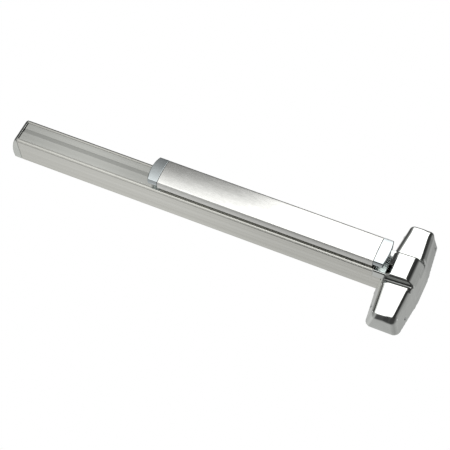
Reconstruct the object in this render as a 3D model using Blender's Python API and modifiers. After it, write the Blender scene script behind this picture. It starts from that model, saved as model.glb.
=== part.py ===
"""Panic exit bar: a push bar in a channel case, with cranks, a control rod and a lift head.

Installed frame: +X runs along the bar towards the head, the door face is y = 0 and the room
is towards -Y, +Z is up. The origin is on the door face at the middle of the head.
Lengths in the constants are millimetres.
"""
import math

import bmesh
import bpy
from mathutils import Matrix, Vector

MM = 0.001
GAP = 0.3                   # clearance between neighbouring pieces

# Channel case
CASE_HALF = 28.575          # half of the 57.15 mm case height
CASE_DEPTH = 56.5
CASE_WALL = 2.2
CASE_LEFT_FRONT = -819.0    # the far end is cut on a slant
CASE_LEFT_BACK = -812.0
CASE_RIGHT = -36.0
RIM_WIDTH = 7.0
RIM_RADIUS = 2.3
RIM_FILLET = 1.0            # inside the rim's corner
SIDE_LINE = -52.8           # middle of the fine groove along each side
SIDE_LINE_HALF = 0.5
SIDE_LINE_DEPTH = 0.35
SLOT_HALF = CASE_HALF - RIM_WIDTH

# Push bar
BAR_TRAVEL = 19.0
BAR_EDGE = 88.5             # distance of the face's edges from the door
BAR_CROWN = 5.5
BAR_HALF = 30.75
COVER_SKIRT = 14.3
CAP_SKIRT = 9.5
BAR_WALL = 1.6
CAP_LEFT = -525.0
JOINT_LEFT = -504.7
JOINT_RIGHT = -54.9
CAP_RIGHT = -35.0
CAP_BOW = 4.0

# Bell cranks: the pin circle radii and the angle turned from the middle of the stroke
PIVOT_Y = -29.0
CRANK_X = (-420.0, -150.0)
BAR_ARM = 38.0
ROD_ARM = 20.0
HALF_SWING = math.asin(0.5 * BAR_TRAVEL / BAR_ARM)
ROD_Z = 5.0
ROD_FRONT = -13.2
ROD_BACK = -5.2

# Head
HEAD_HALF = 114.0
HEAD_MID = 43.0
HEAD_FLAT = 27.0            # half height of the widest part of the head
HEAD_END = 33.5
HEAD_SHELL = 2.5
HEAD_STEP = 28.0            # depth at which the skirt meets the steeper front part
SKIRT_INSET = 7.5
SKIRT_END_INSET = 3.0
FRONT_DEPTH = 70.0
FRONT_INSET = 16.0
FRONT_END_INSET = 5.6
HEAD_CORNER = 12.0
LOBE_ROUND = 8.0
BLOCK_HALF = 29.8
BLOCK_FRONT = 67.0
LOBE_NEAR = 52.0
LOBE_FAR = 38.0
LOBE_VALLEY = 42.0
LOBE_SLOPE = 0.085          # the lobes rise away from the bar
TONGUE_LEFT = -54.4
TONGUE = CASE_DEPTH + GAP + 1.8
LEVER_X = -5.0
LEVER_Z = 25.0
LEVER_ARM = 20.0
FINGER_X = 15.0

# Rounding
ARC_STEPS = 5
ROUND_STEPS = 20

# Clearances and fixings
OVER = 5.0                  # how far cutters reach past the piece they cut
FIT = 0.1                   # clearance of a pin in a snug hole
PIN_PLAY = 0.25             # clearance of a pin that turns or slides
SHANK_HOLE = 1.9            # radius of the holes for the 3.2 mm screws

AXIS_TURN = {
    "x": Matrix(((0, 0, 1, 0), (1, 0, 0, 0), (0, 1, 0, 0), (0, 0, 0, 1))),
    "y": Matrix(((1, 0, 0, 0), (0, 0, -1, 0), (0, 1, 0, 0), (0, 0, 0, 1))),
    "z": Matrix.Identity(4),
}
AXIS_SIGN = {"x": 1.0, "y": -1.0, "z": 1.0}
POINTING = {
    "x": Matrix.Rotation(math.pi / 2, 4, "Y"), "-x": Matrix.Rotation(-math.pi / 2, 4, "Y"),
    "y": Matrix.Rotation(-math.pi / 2, 4, "X"), "-y": Matrix.Rotation(math.pi / 2, 4, "X"),
    "z": Matrix.Identity(4),
}

ALUMINIUM = ((0.66, 0.66, 0.62), 0.38, 1.0)
BRUSHED = ((0.72, 0.72, 0.69), 0.30, 1.0)
CHROME = ((0.80, 0.81, 0.80), 0.12, 1.0)
ZINC = ((0.55, 0.56, 0.58), 0.42, 1.0)
STEEL = ((0.48, 0.49, 0.50), 0.36, 1.0)
SPRING = ((0.36, 0.37, 0.39), 0.30, 1.0)
BLACK = ((0.03, 0.03, 0.03), 0.60, 0.0)
RUBBER = ((0.02, 0.02, 0.02), 0.85, 0.0)
CAST = ((0.42, 0.43, 0.44), 0.55, 1.0)


def clear_scene():
    for obj in list(bpy.data.objects):
        bpy.data.objects.remove(obj, do_unlink=True)


def new_collection(name):
    collection = bpy.data.collections.new(name)
    bpy.context.scene.collection.children.link(collection)
    return collection


clear_scene()
PARTS = new_collection("panic_exit_bar")
CUTTERS = new_collection("cutters")


def add_object(name, mesh, finish):
    """Link a mesh as a finished piece, or as a cutter when it has no finish."""
    obj = bpy.data.objects.new(name, mesh)
    if finish is None:
        CUTTERS.objects.link(obj)
        obj.hide_render = True
        obj.display_type = "WIRE"
        return obj
    PARTS.objects.link(obj)
    colour, roughness, metallic = finish
    material = bpy.data.materials.new(name + "_finish")
    material.use_nodes = True
    shader = material.node_tree.nodes["Principled BSDF"]
    shader.inputs["Base Color"].default_value = (*colour, 1.0)
    shader.inputs["Roughness"].default_value = roughness
    shader.inputs["Metallic"].default_value = metallic
    material.diffuse_color = (*colour, 1.0)
    mesh.materials.append(material)
    return obj


def curve_mesh(name, curve):
    """Turn a curve into a welded mesh in world space."""
    source = bpy.data.objects.new(name + "_source", curve)
    bpy.context.scene.collection.objects.link(source)
    bpy.context.view_layer.update()
    evaluated = source.evaluated_get(bpy.context.evaluated_depsgraph_get())
    mesh = bpy.data.meshes.new_from_object(evaluated)
    mesh.transform(source.matrix_world)
    work = bmesh.new()
    work.from_mesh(mesh)
    bmesh.ops.remove_doubles(work, verts=work.verts, dist=1e-6)
    bmesh.ops.recalc_face_normals(work, faces=work.faces)
    work.to_mesh(mesh)
    work.free()
    bpy.data.objects.remove(source)
    bpy.data.curves.remove(curve)
    mesh.name = name
    return mesh


def prism(name, loops, axis, start, end, finish):
    """Extrude closed loops (the first is the outline, the rest are holes) along an axis.

    Loop points are (y, z) for axis x, (x, z) for axis y and (x, y) for axis z.
    """
    curve = bpy.data.curves.new(name + "_outline", "CURVE")
    curve.dimensions = "2D"
    curve.fill_mode = "BOTH"
    curve.render_resolution_u = 0
    curve.extrude = 0.5 * abs(end - start) * MM
    for loop in loops:
        spline = curve.splines.new("POLY")
        spline.points.add(len(loop) - 1)
        for point, (u, v) in zip(spline.points, loop):
            point.co = (u * MM, v * MM, 0.0, 1.0)
        spline.use_cyclic_u = True
    mesh = curve_mesh(name, curve)
    middle = 0.5 * (start + end) * MM * AXIS_SIGN[axis]
    mesh.transform(AXIS_TURN[axis] @ Matrix.Translation((0.0, 0.0, middle)))
    mesh.update()
    return add_object(name, mesh, finish)


def box(name, low, high, finish):
    work = bmesh.new()
    bmesh.ops.create_cube(work, size=1.0)
    size = [(b - a) * MM for a, b in zip(low, high)]
    centre = [0.5 * (a + b) * MM for a, b in zip(low, high)]
    bmesh.ops.scale(work, vec=size, verts=work.verts)
    bmesh.ops.translate(work, vec=centre, verts=work.verts)
    mesh = bpy.data.meshes.new(name)
    work.to_mesh(mesh)
    work.free()
    return add_object(name, mesh, finish)


def turned(name, profile, axis, foot, finish, steps=ROUND_STEPS):
    """Turn a (radius, height) profile about an axis through the foot point."""
    work = bmesh.new()
    points = [work.verts.new((radius * MM, 0.0, height * MM)) for radius, height in reversed(profile)]
    for first, second in zip(points, points[1:]):
        work.edges.new((first, second))
    mesh = bpy.data.meshes.new(name)
    work.to_mesh(mesh)
    work.free()
    obj = add_object(name, mesh, finish)
    screw = obj.modifiers.new("turn", "SCREW")
    screw.axis = "Z"
    screw.steps = steps
    screw.render_steps = steps
    screw.use_merge_vertices = True
    screw.merge_threshold = 0.00001
    obj.matrix_world = Matrix.Translation(Vector(foot) * MM) @ POINTING[axis]
    return obj


def pin(name, radius, axis, foot, length, finish, head=None):
    """A round pin from its foot along an axis, with an optional (radius, height) head."""
    profile = [(0.0, 0.0), (radius, 0.0), (radius, length)]
    if head:
        profile += [(head[0], length), (head[0], length + head[1]), (0.0, length + head[1])]
    else:
        profile.append((0.0, length))
    return turned(name, profile, axis, foot, finish)


def pan_screw(name, foot, axis, shank, length, head, rise):
    """Pan-head screw with a drive recess; its head stands on the foot point, towards the axis."""
    recess = 0.3 * head
    return turned(name, [
        (0.0, -length), (shank, -length), (shank, 0.0), (head, 0.0), (head, 0.6 * rise),
        (0.8 * head, rise), (recess, rise), (recess, 0.5 * rise), (0.0, 0.5 * rise),
    ], axis, foot, STEEL, 16)


def coil_path(x, y, radius, turns, steps, low, high, start, direction):
    """Points of an upright coil from its low end, beginning at the start angle."""
    path = []
    total = int(turns * steps)
    for step in range(total + 1):
        angle = start + direction * 2.0 * math.pi * step / steps
        height = low + (high - low) * step / total
        path.append((x + radius * math.cos(angle), y + radius * math.sin(angle), height))
    return path


def carry(name, at, pieces):
    """Parent the pieces of one moving body to an empty on its joint's axis."""
    holder = bpy.data.objects.new(name, None)
    PARTS.objects.link(holder)
    holder.matrix_world = Matrix.Translation(Vector(at) * MM)
    bpy.context.view_layer.update()
    for obj in pieces:
        obj.parent = holder
        obj.matrix_parent_inverse = holder.matrix_world.inverted()


def wire(name, points, radius, finish):
    """A round wire with closed ends along a list of points."""
    curve = bpy.data.curves.new(name + "_path", "CURVE")
    curve.dimensions = "3D"
    curve.render_resolution_u = 0
    curve.bevel_depth = radius * MM
    curve.bevel_resolution = 2
    curve.use_fill_caps = True
    spline = curve.splines.new("POLY")
    spline.points.add(len(points) - 1)
    for point, (x, y, z) in zip(spline.points, points):
        point.co = (x * MM, y * MM, z * MM, 1.0)
    return add_object(name, curve_mesh(name, curve), finish)


def combine(obj, other, operation):
    step = obj.modifiers.new(other.name, "BOOLEAN")
    step.operation = operation
    step.solver = "EXACT"
    step.object = other


def cut(obj, *cutters):
    for cutter in cutters:
        combine(obj, cutter, "DIFFERENCE")


def bevel(obj, width, segments, angle=35.0):
    step = obj.modifiers.new("rounded_edges", "BEVEL")
    step.width = width * MM
    step.segments = segments
    step.limit_method = "ANGLE"
    step.angle_limit = math.radians(angle)
    step.harden_normals = False


def smooth(obj, angle=40.0):
    """Smooth shading across shallow angles only."""
    mesh = obj.data
    mesh.shade_smooth()
    work = bmesh.new()
    work.from_mesh(mesh)
    limit = math.radians(angle)
    for edge in work.edges:
        if len(edge.link_faces) == 2 and edge.calc_face_angle() > limit:
            edge.smooth = False
    work.to_mesh(mesh)
    work.free()


def filleted(corners, steps=ARC_STEPS):
    """Closed loop from (u, v, radius) corners, each rounded by its own radius."""
    loop = []
    count = len(corners)
    for index, (u, v, radius) in enumerate(corners):
        here = Vector((u, v))
        if radius <= 0.0:
            loop.append((u, v))
            continue
        before = (Vector(corners[index - 1][:2]) - here).normalized()
        after = (Vector(corners[(index + 1) % count][:2]) - here).normalized()
        half = 0.5 * before.angle(after)
        reach = radius / math.tan(half)
        start = here + before * reach
        end = here + after * reach
        centre = here + (before + after).normalized() * (radius / math.sin(half))
        for step in range(steps + 1):
            share = step / steps
            spoke = (start - centre).slerp(end - centre, share)
            loop.append(tuple(centre + spoke.normalized() * radius))
    return loop


def mirrored(half):
    """Close a loop from its z > 0 half by mirroring the points in z."""
    return half + [(y, -z) for y, z in reversed(half)]


def circle(u, v, radius, steps=ROUND_STEPS):
    turn = 2.0 * math.pi / steps
    return [(u + radius * math.cos(turn * i), v + radius * math.sin(turn * i)) for i in range(steps)]


def slot(u, v, half_u, half_v, radius, steps=ARC_STEPS * 2):
    """A round-ended slot: the pin circle swept half_u or half_v to each side."""
    loop = []
    for side, start in ((1.0, -0.5), (-1.0, 0.5)):
        for step in range(steps + 1):
            angle = math.pi * (start + step / steps)
            if half_v:
                angle += 0.5 * math.pi
            loop.append((u + side * half_u + radius * math.cos(angle),
                         v + side * half_v + radius * math.sin(angle)))
    return loop


def crown(half, edge, rise, steps=12):
    """Arc across the bar's face from +z to -z as (y, z) points."""
    points = []
    for step in range(steps + 1):
        z = half * (1.0 - 2.0 * step / steps)
        points.append((-edge - rise * (1.0 - (z / half) ** 2), z))
    return points


def rotated(u, v, angle):
    return (u * math.cos(angle) - v * math.sin(angle), u * math.sin(angle) + v * math.cos(angle))


def arm_outline(tips, hub_radius, tip_radius, steps=8):
    """Outline of a plate joining a hub at 0, 0 to its tips: the hull of their circles."""
    circles = [(0.0, 0.0, hub_radius)] + [(u, v, tip_radius) for u, v in tips]
    hull = []
    for u, v, radius in circles:
        hull += circle(u, v, radius, steps * 2)
    hull = sorted(set((round(a, 5), round(b, 5)) for a, b in hull))

    def chain(points):
        kept = []
        for point in points:
            while len(kept) > 1:
                (ax, ay), (bx, by) = kept[-2], kept[-1]
                if (bx - ax) * (point[1] - ay) - (by - ay) * (point[0] - ax) > 1e-6:
                    break
                kept.pop()
            kept.append(point)
        return kept[:-1]

    return chain(hull) + chain(hull[::-1])


# ---------------------------------------------------------------- channel case
inner = CASE_HALF - CASE_WALL
lip = -CASE_DEPTH + CASE_WALL
case_outside = mirrored(filleted([
    (-CASE_DEPTH, SLOT_HALF, 0.0), (-CASE_DEPTH, CASE_HALF, RIM_RADIUS),
    (SIDE_LINE - SIDE_LINE_HALF, CASE_HALF, 0.0), (SIDE_LINE, CASE_HALF - SIDE_LINE_DEPTH, 0.0),
    (SIDE_LINE + SIDE_LINE_HALF, CASE_HALF, 0.0), (0.0, CASE_HALF, 0.8), (0.0, 0.0, 0.0),
])[:-1])
case_inside = mirrored(filleted([
    (lip, SLOT_HALF, 0.0), (lip, inner, RIM_FILLET), (-CASE_WALL, inner, 0.8),
    (-CASE_WALL, 0.0, 0.0),
])[:-1])
mechanism_case = prism("mechanism_case", [case_outside + case_inside[::-1]], "x",
                       CASE_LEFT_FRONT, CASE_RIGHT, ALUMINIUM)

end_slope = (CASE_LEFT_BACK - CASE_LEFT_FRONT) / CASE_DEPTH
end_cutter = prism("case_end_cutter", [[
    (CASE_LEFT_FRONT - OVER, -CASE_DEPTH - OVER),
    (CASE_LEFT_FRONT - OVER * end_slope, -CASE_DEPTH - OVER),
    (CASE_LEFT_BACK + OVER * end_slope, OVER),
    (CASE_LEFT_FRONT - OVER, OVER),
]], "z", -CASE_HALF - OVER, CASE_HALF + OVER, None)
cut(mechanism_case, end_cutter)

# Groove and snap flanges of the strip that closes the case beyond the bar
PLATE_FRONT = -56.0
PLATE_NECK = SLOT_HALF - GAP
PLATE_FLANGE = inner - 2.6
FLANGE_FRONT = lip + GAP
FLANGE_BACK = FLANGE_FRONT + 1.8
GROOVE_LOW = -2.3
GROOVE_HIGH = 6.3
GROOVE_SLANT = 0.4
GROOVE_DEPTH = 0.8
PLATE_RIGHT = -506.0
plate_loop = [
    (PLATE_FRONT, PLATE_NECK), (FLANGE_FRONT, PLATE_NECK), (FLANGE_FRONT, PLATE_FLANGE),
    (FLANGE_BACK, PLATE_FLANGE), (FLANGE_BACK, -PLATE_FLANGE), (FLANGE_FRONT, -PLATE_FLANGE),
    (FLANGE_FRONT, -PLATE_NECK), (PLATE_FRONT, -PLATE_NECK), (PLATE_FRONT, GROOVE_LOW),
    (PLATE_FRONT + GROOVE_DEPTH, GROOVE_LOW + GROOVE_SLANT),
    (PLATE_FRONT + GROOVE_DEPTH, GROOVE_HIGH - GROOVE_SLANT),
    (PLATE_FRONT, GROOVE_HIGH),
]
prism("case_cover_plate", [plate_loop], "x", CASE_LEFT_FRONT + 1.5, PLATE_RIGHT, ALUMINIUM)

# ---------------------------------------------------------------- far end cap
cap_side = [
    (CASE_LEFT_FRONT - GAP, -CASE_DEPTH), (-823.4, -CASE_DEPTH), (-827.0, -51.0),
    (-830.0, -42.0), (-832.4, -30.0), (-833.4, -18.0), (-832.6, -8.0), (-830.6, 0.0),
    (CASE_LEFT_BACK - GAP, 0.0),
]
cap_section = mirrored(filleted([
    (0.0, 0.0, 0.0), (-CASE_DEPTH, 0.0, 0.0), (-CASE_DEPTH, CASE_HALF, RIM_RADIUS),
    (0.0, CASE_HALF, 1.5),
])[2:])
CAP_FAR = -833.4
end_cap = prism("end_cap", [cap_section], "x", CAP_FAR - OVER, CASE_LEFT_BACK + OVER, CAST)
cap_shape = prism("end_cap_side", [cap_side], "z", -CASE_HALF - OVER, CASE_HALF + OVER, None)
combine(end_cap, cap_shape, "INTERSECT")
POCKET_HALF = 24.0
POCKET_BACK = -4.0
POCKET_OPEN = CASE_LEFT_BACK + OVER
cap_pocket = box("end_cap_pocket", (-824.4, -50.0, -POCKET_HALF),
                 (POCKET_OPEN, POCKET_BACK, POCKET_HALF), None)
cap_mouth = box("end_cap_mouth", (-821.5, -53.0, -POCKET_HALF - 0.5),
                (POCKET_OPEN, POCKET_BACK, POCKET_HALF + 0.5), None)
cut(end_cap, cap_pocket, cap_mouth)
CAP_SCREW_Z = 13.0
CAP_SCREW_Y = -26.0
CAP_SEAT = -830.8
CAP_HOLE = 2.1
CAP_COUNTERBORE = 4.4
cap_outside = CAP_FAR - OVER
for side, sign in (("upper", 1.0), ("lower", -1.0)):
    start = (cap_outside, CAP_SCREW_Y, sign * CAP_SCREW_Z)
    hole = pin("end_cap_hole_" + side, CAP_HOLE, "x", start, POCKET_OPEN - cap_outside, None)
    seat = pin("end_cap_seat_" + side, CAP_COUNTERBORE, "x", start, CAP_SEAT - cap_outside, None)
    cut(end_cap, hole, seat)

BRACKET_X = -806.0
end_bracket_side = [
    (BRACKET_X, -CASE_WALL - GAP), (-768.0, -CASE_WALL - GAP), (-768.0, -4.7),
    (BRACKET_X + 2.4, -4.7), (BRACKET_X + 2.4, -44.0), (BRACKET_X, -44.0),
]
end_cap_bracket = prism("end_cap_bracket", [end_bracket_side], "z", -20.0, 20.0, ZINC)
for side, sign in (("upper", 1.0), ("lower", -1.0)):
    screw_z = sign * CAP_SCREW_Z
    hole = pin("bracket_hole_" + side, CAP_HOLE, "x", (BRACKET_X - OVER, CAP_SCREW_Y, screw_z),
               OVER * 3.0, None)
    cut(end_cap_bracket, hole)
    pan_screw("end_cap_screw_" + side, (CAP_SEAT - FIT, CAP_SCREW_Y, screw_z), "-x",
              1.8, 30.0, 4.0, 1.9)

# ---------------------------------------------------------------- base plate of the mechanism
PLATE_BACK = -CASE_WALL - GAP
PLATE_TOP = PLATE_BACK - 2.0
BASE_LEFT = -492.0
BASE_RIGHT = -84.0
BASE_HALF = 24.0
SCREW_TIP = -0.5
screw_points = [(x, z) for x in (BASE_LEFT + 12.0, BASE_RIGHT - 12.0) for z in (-19.0, 19.0)]
base_loops = [filleted([
    (BASE_LEFT, -BASE_HALF, 3.0), (BASE_RIGHT, -BASE_HALF, 3.0),
    (BASE_RIGHT, BASE_HALF, 3.0), (BASE_LEFT, BASE_HALF, 3.0),
])]
base_loops += [circle(x, z, SHANK_HOLE + GAP) for x, z in screw_points]
prism("mechanism_base_plate", base_loops, "y", PLATE_BACK, PLATE_TOP, ZINC)


def plate_screw(name, x, z, seat, tip):
    """Pan-head screw driven towards the door, its head resting at the seat."""
    pan_screw(name, (x, seat - FIT, z), "-y", 1.6, tip - seat, 3.6, 2.1)


for number, (x, z) in enumerate(screw_points, 1):
    plate_screw(f"base_plate_screw_{number}", x, z, PLATE_TOP, SCREW_TIP)
    cut(mechanism_case, pin(f"case_screw_hole_{number}", SHANK_HOLE, "y", (x, -CASE_WALL - 1.0, z),
                            CASE_WALL + OVER, None))

# ---------------------------------------------------------------- push bar
cover_foot = -BAR_EDGE + COVER_SKIRT
cap_foot = -BAR_EDGE + CAP_SKIRT
outer_arc = crown(BAR_HALF, BAR_EDGE, BAR_CROWN)
inner_arc = crown(BAR_HALF - BAR_WALL, BAR_EDGE - BAR_WALL, BAR_CROWN)
cover_loop = outer_arc + [(cover_foot, -BAR_HALF), (cover_foot, -BAR_HALF + BAR_WALL)] \
    + inner_arc[::-1] + [(cover_foot, BAR_HALF - BAR_WALL), (cover_foot, BAR_HALF)]
push_bar_cover = prism("push_bar_cover", [cover_loop], "x", JOINT_LEFT, JOINT_RIGHT, BRUSHED)

WEB_FRONT = -86.5
WEB_BACK = -84.3
WEB_HALF = BAR_HALF - BAR_WALL - GAP
STEM_OUT = 18.5
STEM_IN = 16.5
HOOK_FRONT = lip + GAP
HOOK_BACK = HOOK_FRONT + 2.0
HOOK_OUT = 24.1
rail_half = [
    (WEB_FRONT, WEB_HALF), (WEB_BACK, WEB_HALF), (WEB_BACK, STEM_OUT), (HOOK_FRONT, STEM_OUT),
    (HOOK_FRONT, HOOK_OUT), (HOOK_BACK, HOOK_OUT), (HOOK_BACK, STEM_IN), (WEB_BACK, STEM_IN),
]
rail_loop = rail_half + [(y, -z) for y, z in reversed(rail_half)]
RAIL_LEFT = JOINT_LEFT + 1.2
RAIL_RIGHT = JOINT_RIGHT - 3.0
push_bar_rail = prism("push_bar_rail", [rail_loop], "x", RAIL_LEFT, RAIL_RIGHT, BLACK)

BOW_STEPS = 10


def bowed_end(corner, joint, direction):
    """Plan outline of a bar end cap as (x, z): straight joint and bowed outer edge."""
    loop = [(joint, -BAR_HALF - OVER), (joint, BAR_HALF + OVER), (corner, BAR_HALF + OVER)]
    for step in range(BOW_STEPS + 1):
        z = BAR_HALF * (1.0 - 2.0 * step / BOW_STEPS)
        loop.append((corner + direction * CAP_BOW * (1.0 - (z / BAR_HALF) ** 2), z))
    loop.append((corner, -BAR_HALF - OVER))
    return loop


cap_section_loop = outer_arc + [(cap_foot, -BAR_HALF), (cap_foot, BAR_HALF)]
CAP_FIX_Y = -81.0
BLOCK_LENGTH = 12.0
CAP_SKIN = 2.4
CAP_SIDE_SKIN = 2.2
CAP_BORE = 1.7
for side, corner, joint, direction in (
        ("left", CAP_LEFT, JOINT_LEFT - GAP, -1.0), ("right", CAP_RIGHT, JOINT_RIGHT + GAP, 1.0)):
    cap = prism("push_bar_end_cap_" + side, [cap_section_loop], "x",
                joint - direction * OVER, corner + direction * OVER * 2.0, CAST)
    plan = prism("bar_cap_plan_" + side, [bowed_end(corner, joint, direction)], "y",
                 cap_foot + OVER, -BAR_EDGE - BAR_CROWN - OVER, None)
    combine(cap, plan, "INTERSECT")
    low, high = sorted((corner - direction * CAP_SKIN, joint + direction * CAP_SKIN))
    cut(cap, box("bar_cap_hollow_" + side, (low, WEB_FRONT, -BAR_HALF + CAP_SIDE_SKIN),
                 (high, cap_foot + OVER, BAR_HALF - CAP_SIDE_SKIN), None))
    cut(cap, pin("bar_cap_screw_hole_" + side, CAP_BORE, "x", (joint - 8.0, CAP_FIX_Y, 0.0),
                 16.0, None))
    # a small screw fixes the cap to a tapped block in the end of the rail
    rail_end = RAIL_LEFT + 0.5 if direction < 0 else RAIL_RIGHT - 0.2
    low, high = sorted((rail_end, rail_end - direction * BLOCK_LENGTH))
    tapped = box("bar_end_block_" + side, (low, WEB_BACK + GAP, -8.0), (high, -76.0, 8.0), ZINC)
    cut(tapped, pin("end_block_bore_" + side, CAP_BORE, "x", (low - OVER, CAP_FIX_Y, 0.0),
                    BLOCK_LENGTH + OVER * 2.0, None))
    pan_screw("bar_cap_screw_" + side, (joint + direction * (CAP_SKIN + FIT), CAP_FIX_Y, 0.0),
              "x" if direction > 0 else "-x", 1.4, 13.0, 2.8, 1.8)

# ---------------------------------------------------------------- cranks and lugs
PIN_RADIUS = 2.5
ROD_PIN_RADIUS = 1.8
PIVOT_RADIUS = 3.0
HUB_RADIUS = 7.5
TIP_RADIUS = 4.2
CRANK_HALF = 2.5            # half thickness of the crank plates
LINK_PIN_HALF = 9.4
link_rest = rotated(-BAR_ARM, 0.0, HALF_SWING)
rod_rest = rotated(0.0, ROD_ARM, HALF_SWING)
LUG_HALF_X = 7.0
BRACKET_HALF_X = 9.0
LUG_TIP = PIVOT_Y + link_rest[1] + 5.3
lug_half = [
    (WEB_BACK + GAP, 15.8), (-78.0, 15.8), (-78.0, 8.5), (LUG_TIP, 8.5), (LUG_TIP, 3.5), (-72.0, 3.5),
]
lug_loop = lug_half + [(y, -z) for y, z in reversed(lug_half)]
CHEEK_IN = 10.0
CHEEK_OUT = 12.0
BRIDGE_BACK = -41.0
BRIDGE_FRONT = -43.0
FOOT_OUT = 15.6
foot_back = PLATE_TOP - 0.2
foot_front = foot_back - 2.0
bracket_loop = [
    (foot_back, FOOT_OUT), (foot_back, CHEEK_IN), (BRIDGE_BACK, CHEEK_IN),
    (BRIDGE_BACK, -CHEEK_IN), (foot_back, -CHEEK_IN), (foot_back, -FOOT_OUT),
    (foot_front, -FOOT_OUT), (foot_front, -CHEEK_OUT), (BRIDGE_FRONT, -CHEEK_OUT),
    (BRIDGE_FRONT, CHEEK_OUT), (foot_front, CHEEK_OUT), (foot_front, FOOT_OUT),
]
COIL_RADIUS = 4.8
COIL_WIRE = 0.6
COIL_TURNS = 3.5
COIL_LOW = -9.1
COIL_HIGH = -4.1
COIL_STEPS = 14
PLUNGER_Z = -9.0
link_y = PIVOT_Y + link_rest[1]
rod_pin_y = PIVOT_Y + rod_rest[1]
link_drift = 0.5 * BAR_ARM * (1.0 - math.cos(HALF_SWING))
stop_top = LUG_TIP + BAR_TRAVEL + GAP
lugs = []
for side, x in zip(("left", "right"), CRANK_X):
    link_x = x + link_rest[0]
    rod_pin_x = x + rod_rest[0]
    link_middle = link_x - link_drift
    lug = prism("push_bar_lug_" + side, [lug_loop], "x", link_middle - LUG_HALF_X,
                link_middle + LUG_HALF_X, ZINC)
    cut(lug, prism("lug_slot_" + side, [slot(link_middle, link_y, link_drift + FIT, 0.0,
                   PIN_RADIUS + PIN_PLAY)], "z", -CHEEK_IN, CHEEK_IN, None))
    lugs.append(lug)

    outline = [(u + x, v + PIVOT_Y)
               for u, v in arm_outline([link_rest, rod_rest], HUB_RADIUS, TIP_RADIUS)]
    crank = prism("bell_crank_" + side, [
        outline, circle(x, PIVOT_Y, PIVOT_RADIUS + PIN_PLAY), circle(link_x, link_y, PIN_RADIUS + FIT),
        circle(rod_pin_x, rod_pin_y, ROD_PIN_RADIUS + FIT),
    ], "z", -CRANK_HALF, CRANK_HALF, ZINC)
    link_pin = pin("crank_link_pin_" + side, PIN_RADIUS, "z", (link_x, link_y, -LINK_PIN_HALF),
                   LINK_PIN_HALF * 2.0, STEEL)
    rod_pin = pin("crank_rod_pin_" + side, ROD_PIN_RADIUS, "z", (rod_pin_x, rod_pin_y, -4.0),
                  12.4, STEEL)
    carry(f"crank_{side}_axis", (x, PIVOT_Y, 0.0), [crank, link_pin, rod_pin])

    bracket = prism("crank_bracket_" + side, [bracket_loop], "x",
                    x - BRACKET_HALF_X, x + BRACKET_HALF_X, ZINC)
    cut(bracket, pin("bracket_bore_" + side, PIVOT_RADIUS + PIN_PLAY, "z",
                     (x, PIVOT_Y, -CHEEK_OUT - OVER), 2.0 * (CHEEK_OUT + OVER), None))
    pin("crank_pivot_pin_" + side, PIVOT_RADIUS, "z", (x, PIVOT_Y, -13.4), 25.7, STEEL, (4.5, 1.5))

    coil = coil_path(x, PIVOT_Y, COIL_RADIUS, COIL_TURNS, COIL_STEPS, COIL_LOW, COIL_HIGH,
                     0.5 * math.pi, -1.0)
    lead = [(x - 14.0, foot_front - 0.4, COIL_LOW), (x - 5.0, PIVOT_Y + 8.0, COIL_LOW)]
    last_x, last_y, last_z = coil[-1]
    tail = [(last_x - 24.0, last_y - 6.0, last_z)]
    wire("crank_spring_" + side, lead + coil + tail, COIL_WIRE, SPRING)

    pin("push_stop_" + side, 2.9, "y", (link_middle, stop_top, -6.0), foot_back - stop_top, RUBBER)

# ---------------------------------------------------------------- damper
DAMPER_X = -285.0
turned("damper_cylinder", [
    (0.0, 0.0), (8.0, 0.0), (8.0, 2.4), (6.6, 2.4), (6.6, 25.2), (6.0, 26.0), (3.0, 26.0),
    (3.0, 2.0), (0.0, 2.0),
], "-y", (DAMPER_X, foot_back, PLUNGER_Z), BLACK)
damper_plunger = turned("damper_plunger", [
    (0.0, 0.0), (2.5, 0.0), (2.5, 54.0), (5.0, 54.5), (5.0, 57.2), (0.0, 57.2),
], "-y", (DAMPER_X, -26.8, PLUNGER_Z), STEEL)

# ---------------------------------------------------------------- control rod
ROD_HALF_Z = 2.0
ROD_PIN_Y = PIVOT_Y + 0.5 * ROD_ARM * (1.0 + math.cos(HALF_SWING))
rod_drift = 0.5 * ROD_ARM * (1.0 - math.cos(HALF_SWING))
lever_rest_rod = rotated(0.0, -LEVER_ARM, -HALF_SWING)
lever_rest_finger = rotated(LEVER_ARM, 0.0, -HALF_SWING)
CLEVIS_MID = LEVER_X + lever_rest_rod[0]
CLEVIS_LEFT = CLEVIS_MID - 22.0
CLEVIS_RIGHT = CLEVIS_MID + 5.6
ROD_LEFT = CRANK_X[0] - 22.0
ROD_RIGHT = CLEVIS_MID - 8.0
rod_loops = [[
    (ROD_LEFT, ROD_FRONT), (ROD_RIGHT, ROD_FRONT), (ROD_RIGHT, ROD_BACK), (ROD_LEFT, ROD_BACK),
]]
for x in CRANK_X:
    rod_loops.append(slot(x + rod_rest[0], ROD_PIN_Y, 0.0, rod_drift + FIT,
                          ROD_PIN_RADIUS + PIN_PLAY))
control_rod = prism("control_rod", rod_loops, "z", ROD_Z - ROD_HALF_Z, ROD_Z + ROD_HALF_Z, STEEL)
CLEVIS_LOW = -1.2
CLEVIS_HIGH = 11.4
CLEVIS_CHEEK = 1.6
clevis = box("rod_end_clevis", (CLEVIS_LEFT, ROD_FRONT - CLEVIS_CHEEK, CLEVIS_LOW),
             (CLEVIS_RIGHT, ROD_BACK + CLEVIS_CHEEK, CLEVIS_HIGH), ZINC)
cut(clevis, box("clevis_pocket", (CLEVIS_LEFT - OVER, ROD_FRONT - GAP, ROD_Z - ROD_HALF_Z - GAP),
                (ROD_RIGHT + GAP, ROD_BACK + GAP, ROD_Z + ROD_HALF_Z + GAP), None))
LEVER_PIN_Z = LEVER_Z - 0.5 * LEVER_ARM * (1.0 + math.cos(HALF_SWING))
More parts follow.
